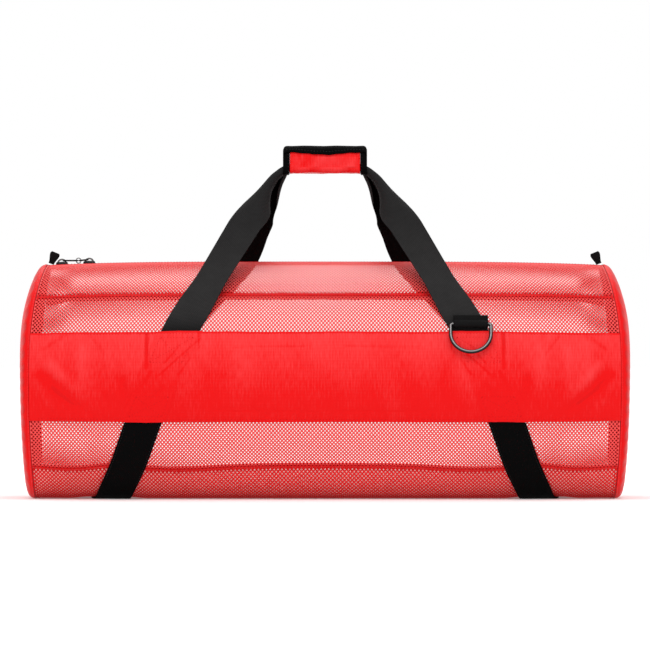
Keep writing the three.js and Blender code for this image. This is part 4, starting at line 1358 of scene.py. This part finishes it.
# %% [markdown]
# ## Flap
#
# The flap is a strip of black binding folded over the grip's top. It follows the same section, a
# little outside the sleeve, and its lips dip in the middle. It is a grid laid round the section,
# like the bands on the barrel, so that it has two real edges.

# %% Close the flap
FLAP_LIFT = 0.0004
FLAP_WALL = 0.002
FLAP_ROWS, FLAP_COLUMNS = 90, 30


def flap_grid(height):
    """The flap's points at a height over the sleeve, from its rear lip over to its front lip."""
    top = np.argmax(section_points[:, 1])
    rear_side = slice(np.argmax(section_points[:, 0]), top)
    start = np.interp(FLAP_EDGE, section_points[rear_side, 1], section_around[rear_side])
    half_top = section_around[:-1][section_points[:, 1] > GRIP_BASE + GRIP_HEIGHT - 1e-6].mean()
    end = 2 * half_top - start
    across = np.linspace(0, 1, FLAP_COLUMNS)
    x = np.linspace(-GRIP_LENGTH / 2, GRIP_LENGTH / 2, FLAP_ROWS)[:, None]
    dip = 0.0034 * np.exp(-((x / 0.03) ** 2)) + 0.0003 * np.sin(x * 310) + 0.0002 * np.sin(x * 171)
    at = (start - dip) + (end - start + 2 * dip) * across[None, :]
    place = sample(section_points, section_around[:-1], at)
    look = unit(sample(section_looks, section_around[:-1], at))
    wave = 0.0003 * np.sin(x * 140 + 8 * across[None, :])
    place = place + look * (height + 0.0003 + wave)[..., None]
    points = np.concatenate([np.broadcast_to(x[..., None], at.shape + (1,)), place], -1)
    return soften(points), together(x, at)


def grip_flap():
    inside, _ = flap_grid(FLAP_LIFT)
    outside, cloth = flap_grid(FLAP_LIFT + FLAP_WALL)
    piece = cloth_solid("grip_flap_sewn", outside, inside, binding, cloth)
    settle(piece, "grip_flap")
    width = float(np.ptp(cloth[FLAP_ROWS // 2, :, 1]))
    print(f"flap: {width:.3f} by {GRIP_LENGTH} m")


grip_flap()

# %% [markdown]
# ## Zip
#
# The zip runs along the top between the two top nets. Its teeth are nylon: they come from both
# tapes in turn and lie between each other. One tooth is a small rounded block, and all of them
# make one mesh, because a thousand separate objects would be slow to handle and to export. The
# tapes lie under the nets' edges.

# %% Lay the zip
ZIP_TAPE_DEPTH = 0.0026
ZIP_TAPE_WALL = 0.0012
COIL_SIDE = 0.003
COIL_TOP = -0.0008
TOOTH_STEP = 0.0016
TOOTH_ROOT = 0.0008  # how far the teeth reach below the tapes' level


def zip_tape(node, side):
    reach = end_seam(90.0) - 0.0006
    across = np.array([0.0026, 0.0034, 0.0042, 0.0052, 0.0085, 0.0125, 0.018])
    x = np.linspace(-reach, reach, 150)[:, None] + 0 * across
    cord = 0.0005 * np.exp(-(((across - 0.0042) / 0.0008) ** 2))
    wave = 0.0003 * np.sin(x * 120) * smooth_step(across, 0.006, 0.018)
    angle = 90 - side * np.degrees(across / BODY_RADIUS) + 0 * x
    top = -ZIP_TAPE_DEPTH - 0.0004
    outside = on_skin(x, angle, top + cord + wave)
    inside = on_skin(x, angle, top - ZIP_TAPE_WALL + wave)
    cloth = together(x, across)
    if side > 0:
        outside, inside, cloth = outside[:, ::-1], inside[:, ::-1], cloth[:, ::-1]
    tape = cloth_solid(node + "_woven", outside, inside, zip_cloth, cloth)
    settle(tape, node)


def zip_teeth():
    """Teeth from both sides in turn, each a block with a narrow, lower nose."""
    count = int(2 * (end_seam(90.0) - 0.004) / TOOTH_STEP)
    block = np.array([  # along, across, height, for the root's, the back's and the nose's rings
        (-0.62, -1.05, 0.0), (0.62, -1.05, 0.0), (0.62, -1.05, 0.6), (-0.62, -1.05, 0.6),
        (-0.62, -0.5, 0.0), (0.62, -0.5, 0.0), (0.5, -0.5, 1.0), (-0.5, -0.5, 1.0),
        (-0.42, 0.34, 0.0), (0.42, 0.34, 0.0), (0.34, 0.22, 0.95), (-0.34, 0.22, 0.95),
    ]) * np.array([TOOTH_STEP / 2, COIL_SIDE, COIL_TOP + ZIP_TAPE_DEPTH + TOOTH_ROOT])
    ring = np.array([[k, (k + 1) % 4, (k + 1) % 4 + 4, k + 4] for k in range(4)])
    sides = np.concatenate([ring, ring + 4, [[3, 2, 1, 0], [8, 9, 10, 11]]])
    points, faces = [], []
    for side in (-1, 1):
        x = (np.arange(count) - count / 2 + (0.5 if side > 0 else 0)) * TOOTH_STEP
        base = skin(x, 90.0) - np.array([0, 0, ZIP_TAPE_DEPTH + TOOTH_ROOT])
        teeth = base[:, None] + block[None] * np.array([1, side, 1])
        start = len(points) * count * len(block) + np.arange(count)[:, None, None] * len(block)
        points.append(teeth.reshape(-1, 3))
        faces.append((start + (sides if side < 0 else sides[:, ::-1])).reshape(-1, 4))
    teeth = make_object("zip_teeth", np.concatenate(points), [np.concatenate(faces)], zip_nylon)
    settle(teeth, "zip_coil")
    print("zip:", 2 * count, "teeth")


zip_tape("zip_tape_front", 1)
zip_tape("zip_tape_rear", -1)
zip_teeth()

# %% [markdown]
# ## Wire for the zip's metal
#
# Two sliders meet near the left end. Each has a bail, a small arch, that holds a pull made of
# bent wire, and a ring through both pulls keeps the zip shut. Wire is a round section swept
# along a path, so one helper makes the ring, the pulls and the bails. A curve object with a
# bevel would do as well, but it couldn't store where the wire gets its painted highlight.

# %% Bend wire
def rings(turn, side, up):
    """Directions round a path, from the directions to its side and up from it."""
    return np.cos(turn)[None, :, None] * side + np.sin(turn)[None, :, None] * up


def wire(name, centres, normal, thick, closed=True, sides=12):
    """A round wire along a path that lies in one plane."""
    centres = np.asarray(centres)
    if closed:
        ahead = unit(np.roll(centres, -1, 0) - np.roll(centres, 1, 0))
    else:
        ahead = unit(np.gradient(centres, axis=0))
    side = unit(np.cross(ahead, normal))
    turn = full_turn(sides)
    points = centres[:, None] + rings(turn, side[:, None], np.asarray(normal)) * thick / 2
    faces = [grid_faces(len(centres), sides, 0, closed, True)[:, ::-1]]
    if not closed:
        faces += tube_faces(len(centres), sides)[1:]
    # painted highlight: a light line along the wire on both sides of its plane
    painted_highlight = smooth_step(np.abs(np.sin(turn)), 0.93, 0.995)
    cloth = together(0.0, 0.0, painted_highlight[None, :] + 0 * points[..., 0])
    return make_object(name, points, faces, black_metal, cloth)


def oval(length, side, steps=12):
    """A long eye: two half circles joined by straight sides."""
    turn = np.radians(np.linspace(90, 270, steps))
    left = together(side + side * np.cos(turn), side * np.sin(turn))
    right = together(length - side - side * np.cos(turn), -side * np.sin(turn))
    return np.concatenate([left, right])


print("helpers: rings, wire, oval")

# %% [markdown]
# ## Sliders
#
# A slider's body is a folded plate round the teeth that narrows to its nose. It is a row of
# sections along the zip, turned to follow the zip's slope, and a bevel modifier rounds its edges
# to catch the light.

# %% Shape a slider
SLIDERS = {"left": -0.376, "right": -0.337}
SLIDER_SECTIONS = [  # along, share of the width, share of the height
    (-0.0085, 0.62, 0.5), (-0.0075, 0.8, 0.85), (-0.004, 0.9, 1.0), (0.0, 1.0, 1.0),
    (0.004, 1.0, 1.0), (0.0075, 0.92, 0.85), (0.0085, 0.8, 0.5),
]
BAIL_RISE = 0.0037
METAL_WIRE = 0.0024


def zip_top(x):
    return float(skin(np.float64(x), np.float64(90))[2])


def spin(angle, first, second):
    """A matrix that turns one axis towards another."""
    matrix = np.eye(3)
    matrix[first, first] = matrix[second, second] = math.cos(angle)
    matrix[second, first], matrix[first, second] = math.sin(angle), -math.sin(angle)
    return matrix


def slider(which, x):
    slope = math.atan2(zip_top(x + 0.005) - zip_top(x - 0.005), 0.01)
    cheek, roof, base = 0.0034, COIL_TOP + 0.0004, -0.0023
    nose = 1 if which == "right" else -1
    rows = []
    for along, wide, tall in SLIDER_SECTIONS:
        half, top = max(0.0055 * wide, cheek + 0.0006), roof + 0.0036 * tall
        shape = [
            (-half, base), (-cheek, base), (-cheek, roof), (cheek, roof), (cheek, base),
            (half, base), (half, roof + 0.0006), (half - 0.0016, top), (0.0016 - half, top),
            (-half, roof + 0.0006),
        ]
        rows.append([(along * nose, y, z) for y, z in shape])
    points = np.array(rows)
    faces = tube_faces(*points.shape[:2])
    if nose > 0:
        faces = [part[:, ::-1] for part in faces]
    tilt = spin(slope, 0, 2)
    at = np.array([x, 0, zip_top(x)])
    points = points.reshape(-1, 3) @ tilt.T + at
    body = make_object("zip_slider_" + which + "_cast", points, faces, black_metal)
    bevel = body.modifiers.new("bevel", "BEVEL")
    bevel.width, bevel.segments, bevel.angle_limit = 0.0004, 2, math.radians(35)
    turn = np.radians(np.linspace(0, 180, 17))
    arch = together(0.0053 * np.cos(turn), 0, roof + 0.0030 + BAIL_RISE * np.sin(turn))
    bail = wire("zip_bail_" + which, arch @ tilt.T + at, (0, 1, 0), METAL_WIRE, closed=False)
    bail.parent = body
    settle(body, "zip_slider_" + which)


print("slider:", len(SLIDER_SECTIONS), "sections and a bail")

# %% [markdown]
# ## Lock ring and pulls
#
# The ring stands on the teeth between the sliders. Each pull is a long eye of wire that runs from
# its slider's bail to the ring, so its length follows from where those two are.

# %% Hang the lock ring, the sliders and the pulls
LOCK_RING_X = -0.3523
LOCK_RING_RADIUS = 0.0036
LOCK_RING_WIRE = 0.0013
PULL_SIDE = 0.0032
lock_height = zip_top(LOCK_RING_X) + COIL_TOP + 0.0004 + LOCK_RING_WIRE / 2 + LOCK_RING_RADIUS
turn = full_turn(36)
ring_x = LOCK_RING_X + LOCK_RING_RADIUS * np.sin(turn)
ring_z = lock_height - LOCK_RING_RADIUS * np.cos(turn)
ring_path = together(ring_x, 0, ring_z)
lock_ring = wire("zip_lock_ring_bent", ring_path, (0, 1, 0), LOCK_RING_WIRE)
settle(lock_ring, "zip_lock_ring")
for which, x in SLIDERS.items():
    slider(which, x)
    towards = 1 if which == "left" else -1
    start = np.array([x + towards * 0.002, 0, zip_top(x) + COIL_TOP + 0.0056])
    end = np.array([LOCK_RING_X - towards * 0.0012, 0, lock_height])
    along = unit(end - start)
    eye = oval(np.linalg.norm(end - start), PULL_SIDE)
    centres = start + eye[:, :1] * along + eye[:, 1:] * np.array([0, 1, 0])
    normal = np.cross(along, (0, 1, 0))
    pull = wire("zip_pull_" + which + "_bent", centres, normal, METAL_WIRE)
    settle(pull, "zip_pull_" + which)
print("sliders:", SLIDERS, "lock ring at", LOCK_RING_X)

# %% [markdown]
# ## Folded tabs
#
# Two kinds of tab are short lengths of webbing folded double. At each end of the zip a tab is
# caught in the end seam and fans out, to hold on to while the zip is pulled. Another goes round
# the bar of the D-ring, and its two layers are sewn onto the front handle. Both are a strip swept
# along a path in side view, so the fold is a real bend of the cloth.

# %% Fold the tabs at the zip's ends
# painted sheen on the tabs' black, as on the straps' upper part
TAB_SHEEN = 0.25
ZIP_TAB_WALL = 0.0014
ZIP_TAB_LEAN = math.radians(22)


def folded_strip(node, path, widths, wall, tilt, foot):
    """A strip along a path in side view (y, z), with a width for each point of the path."""
    v, offset = strap_section(1.0, wall, 13)
    path = np.asarray(path)
    ahead = unit(np.gradient(path, axis=0))
    look = together(-ahead[:, 1], ahead[:, 0])
    yz = path[:, None] + look[:, None] * offset[None, :, None]
    x = np.asarray(widths)[:, None] * v[None, :]
    points = np.concatenate([x[..., None], yz], -1) @ tilt.T + foot
    length = run_lengths(path)
    cloth = together(length[:, None], x + 0.05, TAB_SHEEN)
    piece = make_object(node + "_folded", points, tube_faces(*x.shape), webbing, cloth)
    settle(piece, node)


def zip_tab(node, side):
    height, half = 0.0175, 0.0009
    turn = np.radians(np.linspace(0, 180, 13))
    up = np.linspace(0, height - 0.0016, 14)
    swell = half + 0.0003 * np.sin(math.pi * up / height)
    over = together(-half * np.cos(turn), height - 0.0016 + half * np.sin(turn))
    path = np.concatenate([together(-swell, up), over[1:-1], together(swell, up)[::-1]])
    fan = 0.006 * smooth_step(path[:, 1], 0.001, 0.0145)
    widths = 0.008 + fan - 0.0025 * smooth_step(path[:, 1], 0.015, 0.017)
    x = side * (end_seam(90.0) - 0.005)
    foot = np.array([x, 0, zip_top(x) + COIL_TOP + 0.0016])
    folded_strip(node, path, widths, ZIP_TAB_WALL, spin(-side * ZIP_TAB_LEAN, 2, 0), foot)


zip_tab("zip_tab_left", -1)
zip_tab("zip_tab_right", 1)
print("tabs: 2 at the zip's ends")

# %% [markdown]
# ## The D-ring's tab
#
# This tab goes round the ring's bar and back, in a loop just wide enough for the wire to turn in.
# The bar's place follows from the layers below it: the handle, the tab's back and half the loop.

# %% Fold the tab of the D-ring
RING_WIRE = 0.0054
RING_X = 0.205
RING_ANGLE = 28.0
RING_TAB_WIDTH = 0.049
LOOP_RADIUS = RING_WIRE / 2 + 0.00045 + WEB_WALL / 2
bar_stand = LAYER_GAP + WEB_WALL + 0.0005 + LOOP_RADIUS + WEB_WALL / 2
ring_bar = on_skin(np.float64(RING_X), np.float64(RING_ANGLE), bar_stand)


def ring_tab():
    turn = np.radians(np.linspace(0, -235, 30))
    loop = LOOP_RADIUS * together(np.cos(turn), np.sin(turn))
    back = together(LOOP_RADIUS, np.linspace(0.015, 0.001, 12))
    front_y = LOOP_RADIUS - WEB_WALL - 0.0001
    rise = [(0.0, 0.0044), (0.0014, 0.0062)]
    rise += [(front_y, height) for height in (0.0082, 0.0115, 0.015)]
    join = curve_through(np.vstack([loop[-2], loop[-1], rise]), 6)[1:]
    path = np.concatenate([back, loop, join])
    tilt = spin(math.radians(-RING_ANGLE), 1, 2)
    widths = np.full(len(path), RING_TAB_WIDTH)
    folded_strip("d_ring_tab", path, widths, WEB_WALL, tilt, ring_bar)


ring_tab()
print("D-ring's bar at", [round(float(value), 4) for value in ring_bar])

# %% [markdown]
# ## D-ring
#
# The D-ring is bent from thick enamelled wire: a straight bar that turns in the tab, and a round
# bow. It is the one hard piece that moves, so it rides on its own body; the real ring swings about
# its bar.

# %% Bend the D-ring
RING_WIDTH = 0.062
RING_HEIGHT = 0.049
RING_CORNER = 0.0032
RING_LEAN = math.radians(27)


def d_ring():
    side = (RING_WIDTH - RING_WIRE) / 2
    bow = side + RING_WIRE - RING_HEIGHT
    corner = np.radians(np.linspace(90, 0, 7))
    round_end = np.radians(np.linspace(0, -180, 49))
    bend_x = side - RING_CORNER + RING_CORNER * np.cos(corner)
    bend = together(bend_x, RING_CORNER * (np.sin(corner) - 1))
    bottom = together(side * np.cos(round_end), bow + side * np.sin(round_end))
    bar = together(np.linspace(-0.8, 0.8, 9) * side, 0)
    outline = np.concatenate([bar, bend, bottom, bend[::-1] * (-1, 1)])
    down = np.array([0, -math.sin(RING_LEAN), -math.cos(RING_LEAN)])
    centres = ring_bar - outline[:, 1:] * down + outline[:, :1] * np.array([1, 0, 0])
    normal = np.array([0, -math.cos(RING_LEAN), math.sin(RING_LEAN)])
    ring = wire("d_ring_bent", centres, normal, RING_WIRE, sides=20)
    settle(ring, "d_ring", body="ring")


d_ring()
print(f"D-ring: {RING_WIDTH} by {RING_HEIGHT} m of {RING_WIRE} m wire")

# %% [markdown]
# ## Stitches
#
# Everything is held by rows of stitches: along the hems and seams, in a box with a cross where
# the webbing is sewn down, and round the grip. A row of stitches drawn in a texture would be flat
# and would blur. So each stitch is a tiny spindle of eight faces, and a row is laid along any line
# of points on the cloth. The bands come first, with a row along each hem and two boxes over each
# leg of the webbing.

# %% Sew the bands' stitches
BOX_HALF = 0.0215


def sew(name, lines, finish, stitch=0.0032, gap=0.0011, thick=0.0009):
    """Rows of stitches in one mesh. A line is its points and the directions that face out."""
    all_points, count = [], 0
    for points, looks in lines:
        lengths = run_lengths(points)
        number = max(2, int((lengths[-1] + gap) / (stitch + gap)))
        start = np.linspace(0, lengths[-1] - stitch, number)
        first, last = sample(points, lengths, start), sample(points, lengths, start + stitch)
        middle = sample(points, lengths, start + stitch / 2)
        out = unit(sample(looks, lengths, start + stitch / 2))
        side = unit(np.cross(last - first, out)) * thick / 2
        rise = out * thick / 2
        spindle = [first - rise / 2, last - rise / 2]
        spindle += [middle + rise, middle + side, middle - rise, middle - side]
        all_points.append(np.stack(spindle, 1).reshape(-1, 3))
        count += number
    pairs = [(2, 3), (3, 4), (4, 5), (5, 2)]
    faces = [(1, a, b) for a, b in pairs] + [(0, b, a) for a, b in pairs]
    faces = (np.arange(count)[:, None, None] * 6 + np.array(faces)).reshape(-1, 3)
    piece = make_object(name, np.concatenate(all_points), [faces], finish)
    settle(piece)
    print(f"{name}: {count} stitches in {len(lines)} rows")


def skin_line(x, angle, offset):
    x, angle = np.broadcast_arrays(np.asarray(x, float), np.asarray(angle, float))
    return on_skin(x, angle, np.broadcast_to(offset, x.shape)), skin_normal(x, angle)


def band_line(x, from_top, turned):
    angle = BAND_TOP - np.degrees(from_top / BODY_RADIUS) + 0 * x
    offset = band_offset(x, angle, from_top + 0 * x, turned)[0] + CLOTH_WALL
    return skin_line(x, 180 - angle if turned else angle, offset)


def cross_box(side, top, base, turned):
    """A box with a cross over the webbing, between two distances from the band's top edge."""
    corners = [(-1, top), (1, top), (1, base), (-1, base)]
    for k, m in [(0, 1), (1, 2), (2, 3), (3, 0), (0, 2), (1, 3)]:
        share = np.linspace(0, 1, 24)
        across = corners[k][0] + (corners[m][0] - corners[k][0]) * share
        from_top = corners[k][1] + (corners[m][1] - corners[k][1]) * share
        reach = web_reach(BAND_TOP - np.degrees(from_top / BODY_RADIUS), turned)
        yield band_line(side * (reach + across * BOX_HALF / WEB_SLANT), from_top, turned)


def band_rows_of_stitches(turned):
    x = np.linspace(-0.404, 0.404, 600)
    lines = [band_line(x, HEM + 0.0012, turned), band_line(x, BAND_WIDTH - 0.004, turned)]
    for side in (-1, 1):
        lines += cross_box(side, 0.009, 0.045, turned)
        lines += cross_box(side, BAND_WIDTH - 0.036, BAND_WIDTH - 0.008, turned)
    return lines


lines = band_rows_of_stitches(False) + band_rows_of_stitches(True)
sew("band_stitches", lines, red_thread)

# %% [markdown]
# ## Stitches in the nets
#
# Each long seam has a row on both sides, where the net is sewn to its tape. Two more rows hold
# the zip, and one runs round each end. They lie just over the strands.

# %% Sew the nets' stitches
x = np.linspace(-0.40, 0.40, 400)
on_net = -NET_WALL / 2 + STRAND_RISE + 0.0002
seams = [UPPER_SEAM + 0 * x, lower_seam(x), 180 - upper_rear_seam(x), -180 - rear_seam(x)]
net_lines = [skin_line(x, seam + side * arc(0.003), on_net) for seam in seams for side in (-1, 1)]
zip_reach = np.linspace(-0.385, 0.385, 300)
net_lines += [skin_line(zip_reach, 90 + side * arc(0.0146), on_net) for side in (-1, 1)]
turn = np.linspace(90 + arc(0.02), 450 - arc(0.02), 400)
net_lines += [skin_line(side * (end_seam(turn) - 0.004), turn, on_net) for side in (-1, 1)]
sew("net_stitches", net_lines, red_thread)

# %% [markdown]
# ## Stitches in the webbing and the grip
#
# Black rows run along both edges of the webbing where it lies on the barrel, round each binding
# of the grip and along the flap's lips. They use the points that made those pieces.

# %% Sew the handles' stitches
WEB_ROW = 0.0222
BINDING_ROW_LIFT = 0.0006
LIP_ENDS = 3  # rows of the flap left free at each end


def web_lines(frames, rear):
    """Rows along both edges of the webbing, where it lies on the barrel."""
    length = run_lengths(frames[0])
    on_body = (length > 0.12) & (length < 0.372)
    flip = TO_REAR if rear else 1
    for chosen in (on_body, on_body[::-1]):
        part = [f[chosen] for f in frames]
        for v in (-WEB_ROW, WEB_ROW):
            points = web_point(part, np.array([[v]]), np.array([[WEB_WALL / 2 + 0.0001]]))[:, 0]
            yield points * flip, part[2] * flip


lines = list(web_lines(web_frames_front, False)) + list(web_lines(web_frames_rear, True))
for side in (-1, 1):
    x = side * (GRIP_LENGTH / 2 - GRIP_BINDING + 0.002)
    loop = section_points + section_looks * BINDING_ROW_LIFT
    loop = np.concatenate([np.full((len(loop), 1), x), loop], -1)
    lines.append((soften(loop), np.concatenate([np.zeros((len(loop), 1)), section_looks], -1)))
flap_points, _ = flap_grid(FLAP_LIFT + FLAP_WALL + 0.0001)
for column, look in ((2, (0, -1, 0.2)), (-3, (0, 1, 0.2))):
    lip = flap_points[LIP_ENDS:-LIP_ENDS, column]
    lines.append((lip, np.tile(np.array(look, float), (len(lip), 1))))
sew("webbing_stitches", lines, black_thread)

# %% [markdown]
# ## Seam edges
#
# At both ends the net and the panel are sewn together and turned, which leaves a narrow rolled
# edge along the seam. It is a flat tube that follows the end seam with a little wobble, as a hand
# guides the cloth, and it stops beside the zip.

# %% Roll the seam edges
EDGE_RADIUS = 0.0013
EDGE_SIDES = 10
EDGE_FLATNESS = 0.75


def seam_edge(name, side):
    """The rolled edge along an end seam, open beside the zip."""
    angle = np.linspace(90 + arc(0.021), 450 - arc(0.021), 260)
    wobble = 0.0003 * np.sin(np.radians(angle) * 61) + 0.0002 * np.sin(np.radians(angle) * 23)
    out = skin_normal(side * 0.4, angle)
    centres = skin(side * (end_seam(angle) + 0.0012), angle) + out * (0.0004 + wobble)[:, None]
    centres[:, 2] = np.maximum(centres[:, 2], 0.0014)
    ahead = unit(np.gradient(centres, axis=0))
    beside = unit(np.cross(ahead, out))
    turn = full_turn(EDGE_SIDES)
    ring = rings(turn, beside[:, None], EDGE_FLATNESS * out[:, None])
    points = centres[:, None] + EDGE_RADIUS * ring
    lengths = run_lengths(centres)
    cloth = together(lengths[:, None], EDGE_RADIUS * turn[None, :], 0.3)
    faces = tube_faces(len(angle), EDGE_SIDES)
    piece = make_object(name, points, faces, ripstop, cloth)
    settle(piece)


seam_edge("seam_edge_left", -1)
seam_edge("seam_edge_right", 1)
